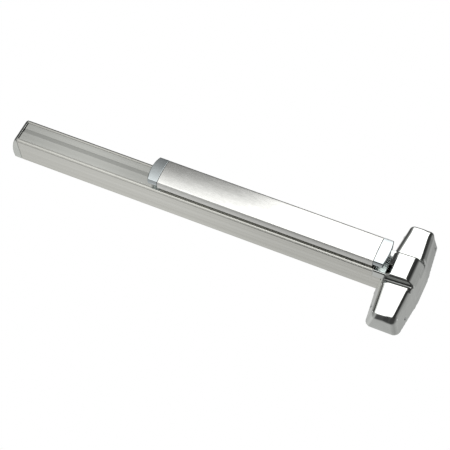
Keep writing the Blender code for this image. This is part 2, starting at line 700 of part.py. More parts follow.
lever_drift = 0.5 * LEVER_ARM * (1.0 - math.cos(HALF_SWING))
cut(clevis, prism("clevis_slot", [slot(CLEVIS_MID, LEVER_PIN_Z, 0.0, lever_drift + FIT,
                  ROD_PIN_RADIUS + PIN_PLAY)], "y", 0.0, -30.0, None))
carry("rod_axis", (0.0, 0.5 * (ROD_FRONT + ROD_BACK), ROD_Z), [control_rod, clevis])
guide_loop = [
    (foot_back, 14.5), (foot_back, 7.4), (ROD_FRONT - GAP, 7.4), (ROD_FRONT - GAP, 2.6),
    (foot_back, 2.6), (foot_back, 0.4), (ROD_FRONT - 2.4, 0.4), (ROD_FRONT - 2.4, 9.6),
    (foot_front, 9.6), (foot_front, 14.5),
]
for side, x in (("left", -345.0), ("right", -215.0)):
    prism("rod_guide_" + side, [guide_loop], "x", x - 4.0, x + 4.0, ZINC)

# ---------------------------------------------------------------- head base plate
HEAD_PLATE = 3.0
window_x = (10.0, 20.0)
window_z = (-34.0, -8.0)
STRAP_LOW = -24.0
STRAP_HIGH = -10.0
strap_screws = ((-64.0, -17.0), (-20.0, -17.0))
head_plate_loop = filleted([
    (-27.5, -107.0, 5.0), (27.5, -107.0, 5.0), (34.6, -30.0, 0.0), (34.6, 30.0, 0.0),
    (27.5, 107.0, 5.0), (-27.5, 107.0, 5.0), (-34.6, 30.0, 0.0), (-34.6, -30.0, 0.0),
])
head_plate_window = [
    (window_x[0], window_z[0]), (window_x[1], window_z[0]),
    (window_x[1], window_z[1]), (window_x[0], window_z[1]),
]
head_base_plate = prism("head_base_plate", [head_plate_loop, head_plate_window,
                        circle(*strap_screws[1], SHANK_HOLE)], "y", 0.0, -HEAD_PLATE, ZINC)
TAB_LEVELS = (("upper", 99.0), ("lower", -76.0))
TAB_Y = -10.5
TAB_FRONT = -17.0
TAB_HALF = 5.0
TAB_THICK = 2.6
TAB_CLEAR = 0.9             # the tabs stand clear of the cover's rounded corners


def skirt_side(depth, z):
    """Distance of the skirt's outer face from the head's middle line."""
    share = (abs(z) - HEAD_FLAT) / (HEAD_HALF - SKIRT_END_INSET * depth / HEAD_STEP - HEAD_FLAT)
    return HEAD_MID - SKIRT_INSET * depth / HEAD_STEP - share * (HEAD_MID - HEAD_END)


for level, z in TAB_LEVELS:
    tab_out = skirt_side(-TAB_FRONT, abs(z) + TAB_HALF) - HEAD_SHELL - TAB_CLEAR
    for side, sign in (("left", -1.0), ("right", 1.0)):
        low, high = sorted((sign * (tab_out - TAB_THICK), sign * tab_out))
        tab = box(f"plate_tab_{level}_{side}", (low, TAB_FRONT, z - TAB_HALF),
                  (high, -HEAD_PLATE + 0.5, z + TAB_HALF), None)
        combine(head_base_plate, tab, "UNION")
        tab_bore = pin(f"tab_bore_{level}_{side}", CAP_BORE, "x", (low - OVER, TAB_Y, z),
                       OVER * 3.0, None)
        cut(head_base_plate, tab_bore)

STRAP_LEFT = -74.0
STRAP_RIGHT = -10.0
strap_back = -HEAD_PLATE - GAP
strap_top = strap_back - 2.2
prism("head_joint_strap", [
    [(STRAP_LEFT, STRAP_LOW), (STRAP_RIGHT, STRAP_LOW), (STRAP_RIGHT, STRAP_HIGH),
     (STRAP_LEFT, STRAP_HIGH)],
    circle(*strap_screws[0], SHANK_HOLE), circle(*strap_screws[1], SHANK_HOLE),
], "y", strap_back, strap_top, ZINC)
plate_screw("strap_screw_case", *strap_screws[0], strap_top, SCREW_TIP)
plate_screw("strap_screw_head", *strap_screws[1], strap_top, SCREW_TIP)
cut(mechanism_case, pin("case_strap_hole", SHANK_HOLE, "y", (strap_screws[0][0], -CASE_WALL - 1.0,
    strap_screws[0][1]), CASE_WALL + OVER, None))

# ---------------------------------------------------------------- lift lever and finger
LEVER_FRONT = -19.0
LEVER_BACK = -15.6
lever_shape = [(u + LEVER_X, v + LEVER_Z) for u, v in
               arm_outline([lever_rest_rod, lever_rest_finger], 7.0, 4.4)]
lever_rod_pin_at = (LEVER_X + lever_rest_rod[0], LEVER_Z + lever_rest_rod[1])
lever_finger_pin_at = (LEVER_X + lever_rest_finger[0], LEVER_Z + lever_rest_finger[1])
lift_lever = prism("lift_lever", [
    lever_shape, circle(LEVER_X, LEVER_Z, PIVOT_RADIUS + PIN_PLAY),
    circle(*lever_rod_pin_at, ROD_PIN_RADIUS + FIT),
    circle(*lever_finger_pin_at, ROD_PIN_RADIUS + FIT),
], "y", LEVER_BACK, LEVER_FRONT, ZINC)
LEVER_PIN_TIP = -19.8
LEVER_PIN_LENGTH = 15.4
rod_end_pin = pin("lever_rod_pin", ROD_PIN_RADIUS, "y",
                  (lever_rod_pin_at[0], LEVER_PIN_TIP, lever_rod_pin_at[1]), LEVER_PIN_LENGTH, STEEL)
finger_pin = pin("lever_finger_pin", ROD_PIN_RADIUS, "y",
                 (lever_finger_pin_at[0], LEVER_PIN_TIP, lever_finger_pin_at[1]),
                 LEVER_PIN_LENGTH, STEEL)
carry("lever_axis", (LEVER_X, LEVER_BACK, LEVER_Z), [lift_lever, rod_end_pin, finger_pin])
turned("lift_lever_stud", [
    (0.0, 0.0), (5.0, 0.0), (5.0, 12.1), (PIVOT_RADIUS, 12.1), (PIVOT_RADIUS, 16.2), (4.6, 16.2),
    (4.6, 17.6), (0.0, 17.6),
], "-y", (LEVER_X, -HEAD_PLATE - 0.2, LEVER_Z), STEEL)

FINGER_FRONT = -11.0
FINGER_BACK = -6.8
FINGER_HALF = 6.8
FINGER_LOW = -60.0
FINGER_TOP = 46.0
SPRING_BASE = 84.8
finger_pin_x = LEVER_X + 0.5 * LEVER_ARM * (1.0 + math.cos(HALF_SWING))
finger_body = [
    (FINGER_X - FINGER_HALF, FINGER_LOW), (FINGER_X + FINGER_HALF, FINGER_LOW),
    (FINGER_X + FINGER_HALF, FINGER_TOP), (FINGER_X - FINGER_HALF, FINGER_TOP),
]
finger_notch = [
    (FINGER_X - 4.0, -30.0), (FINGER_X + 4.0, -30.0), (FINGER_X + 4.0, -18.0), (FINGER_X - 4.0, -18.0),
]
lift_finger = prism("lift_finger", [
    finger_body, finger_notch,
    slot(finger_pin_x, lever_finger_pin_at[1], lever_drift + FIT, 0.0, ROD_PIN_RADIUS + PIN_PLAY),
], "y", FINGER_BACK, FINGER_FRONT, STEEL)
STEM_Y = 0.5 * (FINGER_FRONT + FINGER_BACK)
stem = pin("finger_stem", 2.0, "z", (FINGER_X, STEM_Y, FINGER_TOP - 3.0), 48.0, None)
combine(lift_finger, stem, "UNION")
carry("finger_axis", (FINGER_X, STEM_Y, LEVER_Z), [lift_finger])
seat_y = -HEAD_PLATE - 0.2
guide_plan = [
    (30.0, seat_y), (22.2, seat_y), (22.2, FINGER_FRONT - GAP), (7.8, FINGER_FRONT - GAP),
    (7.8, seat_y), (5.6, seat_y), (5.6, FINGER_FRONT - 2.4), (24.4, FINGER_FRONT - 2.4),
    (24.4, seat_y - 2.0), (30.0, seat_y - 2.0),
]
prism("finger_guide_lower", [guide_plan], "z", -50.0, -42.0, ZINC)
upper_side = [
    (seat_y, SPRING_BASE + 0.2), (-14.5, SPRING_BASE + 0.2), (-14.5, SPRING_BASE + 2.6),
    (seat_y - 2.2, SPRING_BASE + 2.6), (seat_y - 2.2, 98.0), (seat_y, 98.0),
]
upper_guide = prism("finger_guide_upper", [upper_side], "x", FINGER_X - 5.0, FINGER_X + 5.0, ZINC)
cut(upper_guide, pin("upper_guide_bore", 2.3, "z", (FINGER_X, STEM_Y, SPRING_BASE - OVER), 16.0, None))
FINGER_COIL = 3.3
FINGER_WIRE = 0.45
FINGER_TURNS = 9
FINGER_STEPS = 12
coil_low = FINGER_TOP + 0.7
coil_high = SPRING_BASE - 0.5
coil = coil_path(FINGER_X, STEM_Y, FINGER_COIL, FINGER_TURNS, FINGER_STEPS, coil_low, coil_high,
                 0.0, 1.0)
wire("finger_spring", coil, FINGER_WIRE, SPRING)

# ---------------------------------------------------------------- head cover
# (depth, side inset, end inset) of the cover's outline; it starts behind the door plane so that
# the rounded edges can be trimmed flat there
HEAD_BEHIND = 14.0
HEAD_LEVELS = (
    (-HEAD_BEHIND, -HEAD_BEHIND * SKIRT_INSET / HEAD_STEP, -HEAD_BEHIND * SKIRT_END_INSET / HEAD_STEP),
    (HEAD_STEP, SKIRT_INSET, SKIRT_END_INSET),
    (FRONT_DEPTH, FRONT_INSET, FRONT_END_INSET),
)


def head_rings(shell):
    """Rounded eight-sided outlines of the head, one per level, as world points."""
    rings = []
    radius = HEAD_CORNER - shell
    for depth, inset, end_inset in HEAD_LEVELS:
        mid = HEAD_MID - inset - shell
        end = HEAD_END - inset - shell
        tall = HEAD_HALF - end_inset - shell
        plan = filleted([
            (-end, -tall, radius), (end, -tall, radius), (mid, -HEAD_FLAT, 0.0), (mid, HEAD_FLAT, 0.0),
            (end, tall, radius), (-end, tall, radius), (-mid, HEAD_FLAT, 0.0), (-mid, -HEAD_FLAT, 0.0),
        ], 6)
        rings.append([(x, -depth, z) for x, z in plan])
    return rings


def loft(name, rings, finish):
    """Closed body through rings of equal point count."""
    work = bmesh.new()
    levels = [[work.verts.new(Vector(point) * MM) for point in ring] for ring in rings]
    count = len(levels[0])
    for lower, upper in zip(levels, levels[1:]):
        for i in range(count):
            j = (i + 1) % count
            work.faces.new((lower[i], lower[j], upper[j], upper[i]))
    work.faces.new(levels[0][::-1])
    work.faces.new(levels[-1])
    bmesh.ops.recalc_face_normals(work, faces=work.faces)
    mesh = bpy.data.meshes.new(name)
    work.to_mesh(mesh)
    work.free()
    return add_object(name, mesh, finish)


def head_profile(shell):
    """Side view of the two lobes and the valleys beside the block, as (y, z)."""
    far = LOBE_FAR - shell
    near = LOBE_NEAR - shell
    valley = LOBE_VALLEY - shell
    beyond = HEAD_HALF + HEAD_BEHIND
    return mirrored([
        (-valley, 33.0 + shell * 0.4), (-near, 37.0 + shell * 0.6),
        (-far, HEAD_HALF - 1.5), (-far, beyond), (HEAD_BEHIND + OVER, beyond),
    ])


HEAD_REACH = 65.0           # how far the head's cutters run to each side


def lobe_shape(name, shell):
    """Cutter with the lobes' side view, turned so that they rise away from the bar."""
    shape = prism(name, [head_profile(shell)], "x", -HEAD_REACH, HEAD_REACH, None)
    pivot = Matrix.Translation((0.0, -LOBE_NEAR * MM, 0.0))
    turn = Matrix.Rotation(-math.atan(LOBE_SLOPE), 4, "Z")
    shape.data.transform(pivot @ turn @ pivot.inverted())
    return shape


head_cover = loft("head_cover", head_rings(0.0), CHROME)
combine(head_cover, lobe_shape("head_side_profile", 0.0), "INTERSECT")
bevel(head_cover, LOBE_ROUND, 5, 30.0)
cut(head_cover, box("door_side", (-HEAD_REACH, 0.0, -HEAD_HALF - HEAD_BEHIND),
                    (HEAD_REACH, HEAD_BEHIND + OVER, HEAD_HALF + HEAD_BEHIND), None))

BLOCK_ROOT = -25.0
block_plan = [
    (-HEAD_REACH, BLOCK_ROOT), (-HEAD_REACH, -TONGUE), (-30.2, -TONGUE), (-27.5, -TONGUE - 2.0),
    (-24.0, -62.2), (-19.0, -64.1), (-10.0, -65.2), (0.0, -66.0), (9.0, -66.6), (17.0, -BLOCK_FRONT),
    (30.0, -55.0), (HEAD_REACH, -54.0), (HEAD_REACH, BLOCK_ROOT),
]
block = prism("head_block", [block_plan], "z", -BLOCK_HALF, BLOCK_HALF, None)
combine(block, loft("head_block_sides", head_rings(0.02), None), "INTERSECT")
bevel(block, 0.9, 2, 35.0)
combine(head_cover, block, "UNION")
tongue = box("head_tongue", (TONGUE_LEFT, -TONGUE, -BLOCK_HALF),
             (-25.0, -CASE_DEPTH + 4.0, BLOCK_HALF), None)
combine(head_cover, tongue, "UNION")

inner_cover = loft("head_inside", head_rings(HEAD_SHELL), None)
combine(inner_cover, lobe_shape("head_inside_profile", HEAD_SHELL), "INTERSECT")
cut(head_cover, inner_cover)
block_inside = prism("block_inside", [[
    (-23.0, OVER), (-23.0, -56.0), (-10.0, -61.5), (0.0, -63.2), (15.5, -64.2), (26.6, -53.0),
    (27.5, OVER),
]], "z", -BLOCK_HALF + HEAD_SHELL, BLOCK_HALF - HEAD_SHELL, None)
cut(head_cover, block_inside)
case_room = prism("case_room", [mirrored(filleted([
    (OVER, 0.0, 0.0), (-CASE_DEPTH - GAP, 0.0, 0.0), (-CASE_DEPTH - GAP, CASE_HALF + GAP, RIM_RADIUS),
    (OVER, CASE_HALF + GAP, 0.0),
])[2:])], "x", -HEAD_REACH, -22.5, None)
cut(head_cover, case_room)

SEAT_DEPTH = 0.9            # of the spot faces for the side screws
for level, z in TAB_LEVELS:
    seat = skirt_side(-TAB_Y, z) - SEAT_DEPTH
    for side, sign, axis in (("left", -1.0, "-x"), ("right", 1.0, "x")):
        foot = (sign * seat, TAB_Y, z)
        cut(head_cover, turned(f"cover_screw_seat_{level}_{side}", [
            (0.0, -8.0), (CAP_BORE, -8.0), (CAP_BORE, 0.0), (2.9, 0.0), (2.9, 12.0), (0.0, 12.0),
        ], axis, foot, None, 16))
        pan_screw(f"head_cover_screw_{level}_{side}", (foot[0] + sign * FIT, TAB_Y, z), axis,
                  1.4, 7.6, 2.6, 1.7)

bar_pieces = [obj for obj in PARTS.objects if obj.name.startswith(("push_bar_", "bar_"))]
carry("push_bar_axis", (DAMPER_X, -BAR_EDGE, 0.0), bar_pieces + [damper_plunger])

for obj in PARTS.objects:
    if obj.type == "MESH":
        smooth(obj)
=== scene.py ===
import math

import bmesh
import bpy
import numpy as np
from mathutils import Matrix, Vector


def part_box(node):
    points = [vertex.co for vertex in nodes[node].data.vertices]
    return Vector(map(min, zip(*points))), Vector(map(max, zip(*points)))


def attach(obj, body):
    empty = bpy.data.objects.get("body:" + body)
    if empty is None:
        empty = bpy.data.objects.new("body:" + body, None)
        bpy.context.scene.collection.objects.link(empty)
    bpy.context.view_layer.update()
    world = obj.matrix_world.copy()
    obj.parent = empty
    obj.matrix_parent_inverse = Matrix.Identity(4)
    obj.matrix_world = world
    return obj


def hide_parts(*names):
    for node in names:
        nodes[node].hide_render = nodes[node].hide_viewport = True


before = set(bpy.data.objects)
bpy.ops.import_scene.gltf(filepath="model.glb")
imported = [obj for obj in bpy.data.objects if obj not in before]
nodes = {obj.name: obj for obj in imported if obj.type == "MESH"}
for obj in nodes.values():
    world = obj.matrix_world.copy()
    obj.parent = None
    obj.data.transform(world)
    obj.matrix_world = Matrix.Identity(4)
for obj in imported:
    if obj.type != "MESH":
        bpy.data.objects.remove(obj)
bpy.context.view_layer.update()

MM = 0.001


def box_mm(node):
    low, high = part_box(node)
    return [v / MM for v in low], [v / MM for v in high]


CASE_LOW, CASE_HIGH = box_mm("mechanism_case")
HEAD_LOW, HEAD_HIGH = box_mm("head_cover")
BAR_LOW, BAR_HIGH = box_mm("push_bar_cover")
ENDCAP_LOW, ENDCAP_HIGH = box_mm("end_cap")
PLATE_LOW, PLATE_HIGH = box_mm("case_cover_plate")
CASE_HALF = CASE_HIGH[2]
CASE_DEPTH = -CASE_LOW[1]
BAR_HALF = BAR_HIGH[2]
BAR_TOP = -BAR_LOW[1]
BAR_CROWN = 5.5
BAR_EDGE = BAR_TOP - BAR_CROWN
BAR_FOOT = -BAR_HIGH[1]
HEAD_TALL = HEAD_HIGH[2]
BLOCK_FRONT = 67.0


# ------------------------------------------------------------------ materials
def new_material(name):
    material = bpy.data.materials.new(name)
    material.use_nodes = True
    tree = material.node_tree
    return material, tree, tree.nodes["Principled BSDF"]


def node(tree, kind, **values):
    made = tree.nodes.new(kind)
    for key, value in values.items():
        if key in made.inputs:
            made.inputs[key].default_value = value
        else:
            setattr(made, key, value)
    return made


def noise(tree, scale, detail=3.0, roughness=0.5, stretch=(1.0, 1.0, 1.0), shift=0.0):
    """Noise over the piece's own coordinates, stretched along its grain."""
    where = node(tree, "ShaderNodeTexCoord")
    mapping = node(tree, "ShaderNodeMapping")
    mapping.inputs["Scale"].default_value = stretch
    mapping.inputs["Location"].default_value = (shift, shift, shift)
    tree.links.new(where.outputs["Object"], mapping.inputs["Vector"])
    texture = node(tree, "ShaderNodeTexNoise", Scale=scale, Detail=detail, Roughness=roughness)
    tree.links.new(mapping.outputs["Vector"], texture.inputs["Vector"])
    return texture.outputs["Fac"]


def ramp(tree, source, low, high, start=0.3, end=0.7):
    """Map a 0-1 value to a range, spread between start and end."""
    step = node(tree, "ShaderNodeMapRange", clamp=True)
    step.inputs["From Min"].default_value = start
    step.inputs["From Max"].default_value = end
    step.inputs["To Min"].default_value = low
    step.inputs["To Max"].default_value = high
    tree.links.new(source, step.inputs["Value"])
    return step.outputs["Result"]


def tint(tree, source, low, high, start=0.3, end=0.7):
    blend = node(tree, "ShaderNodeMix", data_type="RGBA")
    blend.inputs["A"].default_value = (*low, 1.0)
    blend.inputs["B"].default_value = (*high, 1.0)
    tree.links.new(ramp(tree, source, 0.0, 1.0, start, end), blend.inputs["Factor"])
    return blend.outputs["Result"]


def bump(tree, shader, heights):
    """Chain bumps of (height, strength, distance) into the shader's normal."""
    normal = None
    for height, strength, distance in heights:
        step = node(tree, "ShaderNodeBump", Strength=strength, Distance=distance)
        tree.links.new(height, step.inputs["Height"])
        if normal:
            tree.links.new(normal, step.inputs["Normal"])
        normal = step.outputs["Normal"]
    tree.links.new(normal, shader.inputs["Normal"])


def worn_edges(tree, colour, edge_colour, radius=0.0006):
    """Lighten the colour where a bevelled normal departs from the surface, on edges."""
    bevelled = node(tree, "ShaderNodeBevel", samples=4, Radius=radius)
    geometry = node(tree, "ShaderNodeNewGeometry")
    dot = node(tree, "ShaderNodeVectorMath", operation="DOT_PRODUCT")
    tree.links.new(bevelled.outputs["Normal"], dot.inputs[0])
    tree.links.new(geometry.outputs["Normal"], dot.inputs[1])
    blend = node(tree, "ShaderNodeMix", data_type="RGBA")
    blend.inputs["B"].default_value = (*edge_colour, 1.0)
    tree.links.new(colour, blend.inputs["A"])
    tree.links.new(ramp(tree, dot.outputs["Value"], 0.6, 0.0, 0.86, 0.985), blend.inputs["Factor"])
    return blend.outputs["Result"]


def paint_shade_zone(tree, colour, zone, share, soft=0.25):
    """Paint shade into the colour inside a zone, given as (low, high) in mm for each axis that limits it.
    """
    where = node(tree, "ShaderNodeTexCoord")
    axes = node(tree, "ShaderNodeSeparateXYZ")
    tree.links.new(where.outputs["Object"], axes.inputs[0])
    inside = None
    for axis, (low, high) in zone.items():
        rise = ramp(tree, axes.outputs[axis], 0.0, 1.0, (low - soft) * MM, (low + soft) * MM)
        fall = ramp(tree, axes.outputs[axis], 1.0, 0.0, (high - soft) * MM, (high + soft) * MM)
        for part in (rise, fall):
            if inside is None:
                inside = part
                continue
            product = node(tree, "ShaderNodeMath", operation="MULTIPLY")
            tree.links.new(inside, product.inputs[0])
            tree.links.new(part, product.inputs[1])
            inside = product.outputs[0]
    # painted shade: the colour is multiplied down by the given share inside the zone
    blend = node(tree, "ShaderNodeMix", data_type="RGBA", blend_type="MULTIPLY")
    tree.links.new(inside, blend.inputs["Factor"])
    tree.links.new(colour, blend.inputs["A"])
    blend.inputs["B"].default_value = (share, share, share, 1.0)
    return blend.outputs["Result"]


def brushed(name, low, high, rough, grain=(4.0, 900.0, 900.0), anisotropy=0.6, relief=0.05,
            blotch=60.0, spread=0.06, painted_shade=None):
    """Metal with a fine directional grain, faint blotches and an anisotropic sheen along X."""
    material, tree, shader = new_material(name)
    fine = noise(tree, 1.0, 4.0, 0.6, grain)
    wide = noise(tree, 1.0, 2.0, 0.5, tuple(v * 0.22 for v in grain), 3.1)
    cloud = noise(tree, blotch, 3.0, 0.5, shift=1.7)
    colour = tint(tree, wide, low, high)
    # painted shade over a zone, where one is given
    if painted_shade:
        colour = paint_shade_zone(tree, colour, *painted_shade)
    tree.links.new(colour, shader.inputs["Base Color"])
    shader.inputs["Metallic"].default_value = 1.0
    total = node(tree, "ShaderNodeMath", operation="ADD")
    tree.links.new(ramp(tree, fine, rough - spread, rough + spread), total.inputs[0])
    tree.links.new(ramp(tree, cloud, -0.4 * spread, 0.4 * spread), total.inputs[1])
    tree.links.new(total.outputs[0], shader.inputs["Roughness"])
    shader.inputs["Anisotropic"].default_value = anisotropy
    shader.inputs["Anisotropic Rotation"].default_value = 0.25
    along = node(tree, "ShaderNodeCombineXYZ")
    along.inputs["X"].default_value = 1.0
    tree.links.new(along.outputs["Vector"], shader.inputs["Tangent"])
    bump(tree, shader, [(fine, relief, 0.0002), (wide, relief * 0.5, 0.0004)])
    return material


def plated(name, low, high, rough, relief=0.02, scale=260.0, painted_shade=None):
    """Bright plating over a polished casting: slow waviness, haze and tiny pits."""
    material, tree, shader = new_material(name)
    wave = noise(tree, 34.0, 2.0, 0.4)
    haze = noise(tree, scale, 4.0, 0.6, shift=2.3)
    speck = noise(tree, scale * 9.0, 2.0, 0.5, shift=5.9)
    colour = tint(tree, wave, low, high)
    # painted shade over a zone, where one is given
    if painted_shade:
        colour = paint_shade_zone(tree, colour, *painted_shade)
    tree.links.new(colour, shader.inputs["Base Color"])
    shader.inputs["Metallic"].default_value = 1.0
    tree.links.new(ramp(tree, haze, rough * 0.75, rough * 1.3), shader.inputs["Roughness"])
    bump(tree, shader, [(wave, relief, 0.002), (speck, relief * 0.6, 0.0001)])
    return material


def cast(name, low, high, rough, relief=0.12, scale=1400.0):
    """Satin cast or zinc-plated metal with a fine pebble and paler worn edges."""
    material, tree, shader = new_material(name)
    pebble = noise(tree, scale, 4.0, 0.6)
    cloud = noise(tree, 90.0, 3.0, 0.5, shift=4.4)
    colour = tint(tree, cloud, low, high)
    edge = tuple(min(1.0, v * 1.35) for v in high)
    tree.links.new(worn_edges(tree, colour, edge), shader.inputs["Base Color"])
    shader.inputs["Metallic"].default_value = 1.0
    tree.links.new(ramp(tree, pebble, rough - 0.07, rough + 0.07), shader.inputs["Roughness"])
    bump(tree, shader, [(pebble, relief, 0.0002)])
    return material


def turned_steel(name, low, high, rough):
    """Machined steel: fine rings across the axis and light handling marks."""
    material, tree, shader = new_material(name)
    rings = noise(tree, 1.0, 3.0, 0.6, (2600.0, 2600.0, 2600.0))
    smear = noise(tree, 240.0, 3.0, 0.5, shift=2.0)
    tree.links.new(tint(tree, smear, low, high), shader.inputs["Base Color"])
    shader.inputs["Metallic"].default_value = 1.0
    tree.links.new(ramp(tree, rings, rough - 0.08, rough + 0.08), shader.inputs["Roughness"])
    bump(tree, shader, [(rings, 0.05, 0.0001)])
    return material


def moulded(name, low, high, rough, relief=0.15, scale=2200.0):
    """Moulded plastic or rubber with a fine grain and dusty variation."""
    material, tree, shader = new_material(name)
    grain = noise(tree, scale, 3.0, 0.6)
    dust = noise(tree, 70.0, 4.0, 0.6, shift=3.3)
    tree.links.new(tint(tree, dust, low, high), shader.inputs["Base Color"])
    tree.links.new(ramp(tree, grain, rough - 0.1, rough + 0.1), shader.inputs["Roughness"])
    bump(tree, shader, [(grain, relief, 0.0002)])
    return material


DRAWN_GRAIN = (3.0, 520.0, 520.0)
CROSS_GRAIN = (420.0, 900.0, 900.0)
GROOVE_LOW = -2.3               # the cover plate's groove along z, in mm
GROOVE_HIGH = 6.3
# painted shade: the cover plate's colour is darkened over the groove's span in z
GROOVE_PAINTED_SHADE = ({"Z": (GROOVE_LOW, GROOVE_HIGH)}, 0.76)
# painted shade in the head's plating below the block, standing in for the dark reflection there
PAINTED_SHADE_UNDER_BLOCK = ({"X": (-30.0, 25.0), "Y": (-64.0, -46.5), "Z": (-37.5, -29.0)}, 0.32, 1.0)
ALUMINIUM = brushed("case_aluminium", (0.74, 0.735, 0.69), (0.86, 0.86, 0.82), 0.20, anisotropy=0.4,
                    grain=DRAWN_GRAIN, relief=0.03, spread=0.03)
PLATE_METAL = brushed("cover_plate_aluminium", (0.78, 0.79, 0.755), (0.86, 0.87, 0.835), 0.20,
                      anisotropy=0.4, grain=DRAWN_GRAIN, relief=0.02, spread=0.03, painted_shade=GROOVE_PAINTED_SHADE)
RAIL_METAL = brushed("rail_aluminium", (0.70, 0.70, 0.66), (0.80, 0.80, 0.76), 0.42,
                     grain=DRAWN_GRAIN, relief=0.04)
BAR_METAL = brushed("bar_satin_steel", (0.83, 0.83, 0.81), (0.92, 0.92, 0.90), 0.19,
                    grain=CROSS_GRAIN, anisotropy=0.3, relief=0.06, spread=0.04)
CHROME = plated("head_plating", (0.80, 0.82, 0.80), (0.88, 0.90, 0.88), 0.11,
                painted_shade=PAINTED_SHADE_UNDER_BLOCK)
CAP_METAL = plated("bar_cap_plating", (0.62, 0.67, 0.69), (0.70, 0.75, 0.77), 0.14, relief=0.04)
END_METAL = cast("end_cap_casting", (0.78, 0.80, 0.77), (0.86, 0.88, 0.85), 0.24, relief=0.03)
ZINC = cast("zinc_plate", (0.50, 0.51, 0.50), (0.66, 0.66, 0.62), 0.36)
CRANK_METAL = cast("crank_casting", (0.46, 0.47, 0.48), (0.60, 0.61, 0.62), 0.40, relief=0.2, scale=1000.0)
STEEL = turned_steel("turned_steel", (0.50, 0.51, 0.52), (0.68, 0.68, 0.68), 0.28)
SPRING = turned_steel("spring_wire", (0.26, 0.27, 0.29), (0.40, 0.41, 0.43), 0.30)
BLACK = moulded("black_rail", (0.012, 0.012, 0.012), (0.030, 0.030, 0.028), 0.55)
RUBBER = moulded("stop_rubber", (0.010, 0.010, 0.010), (0.028, 0.027, 0.026), 0.80, relief=0.3)
ROD_METAL = brushed("rod_steel", (0.44, 0.45, 0.46), (0.58, 0.58, 0.58), 0.34, relief=0.08)


# ------------------------------------------------------------------ surfaces
def piece(name, mesh, material, body, replaced):
    obj = bpy.data.objects.new(name, mesh)
    bpy.context.scene.collection.objects.link(obj)
    mesh.materials.append(material)
    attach(obj, body)
    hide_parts(*replaced)
    return obj


def weighted_normals(mesh, degrees):
    """Smooth shading across shallow edges that keeps the large flat faces flat."""
    mesh.shade_smooth()
    limit = math.cos(math.radians(degrees))
    around_vertex = [[] for _ in mesh.vertices]
    for face in mesh.polygons:
        for vertex in face.vertices:
            around_vertex[vertex].append(face)
    normals = []
    for face in mesh.polygons:
        for vertex in face.vertices:
            total = Vector((0.0, 0.0, 0.0))
            for other in around_vertex[vertex]:
                if other.normal.dot(face.normal) > limit:
                    total += other.normal * other.area
            normals.append(total.normalized())
    mesh.normals_split_custom_set(normals)


def arc(centre, radius, start, end, steps=10):
    """Points of an arc in the (y, z) plane, angles in degrees from +y towards +z."""
    points = []
    for i in range(steps + 1):
        angle = math.radians(start + (end - start) * i / steps)
        points.append((centre[0] + radius * math.cos(angle), centre[1] + radius * math.sin(angle)))
    return points


def rounded(before, corner, after, radius, steps=8):
    """Points of the fillet in a corner between two neighbours, in the (y, z) plane."""
    here = Vector(corner)
    first = (Vector(before) - here).normalized()
    second = (Vector(after) - here).normalized()
    half = 0.5 * first.angle(second)
    centre = here + (first + second).normalized() * (radius / math.sin(half))
    start = here + first * (radius / math.tan(half)) - centre
    end = here + second * (radius / math.tan(half)) - centre
    return [tuple(centre + start.slerp(end, i / steps)) for i in range(steps + 1)]


def extrusion(name, outline, left, right, cuts=1):
    """Solid with a closed (y, z) outline; left and right give x at a point's y."""
    work = bmesh.new()
    rings = []
    for i in range(cuts + 1):
        share = i / cuts
        rings.append([work.verts.new(((left(y) * (1 - share) + right(y) * share) * MM, y * MM, z * MM))
                      for y, z in outline])
    count = len(outline)
    for first, second in zip(rings, rings[1:]):
        for i in range(count):
            j = (i + 1) % count
            work.faces.new((first[i], first[j], second[j], second[i]))
    work.faces.new(rings[0][::-1])
    work.faces.new(rings[-1])
    ends = [face for face in work.faces if len(face.verts) > 4]
    bmesh.ops.triangulate(work, faces=ends, ngon_method="EAR_CLIP")
    bmesh.ops.recalc_face_normals(work, faces=work.faces)
    mesh = bpy.data.meshes.new(name)
    work.to_mesh(mesh)
    work.free()
    mesh.update()
    weighted_normals(mesh, 35)
    return mesh


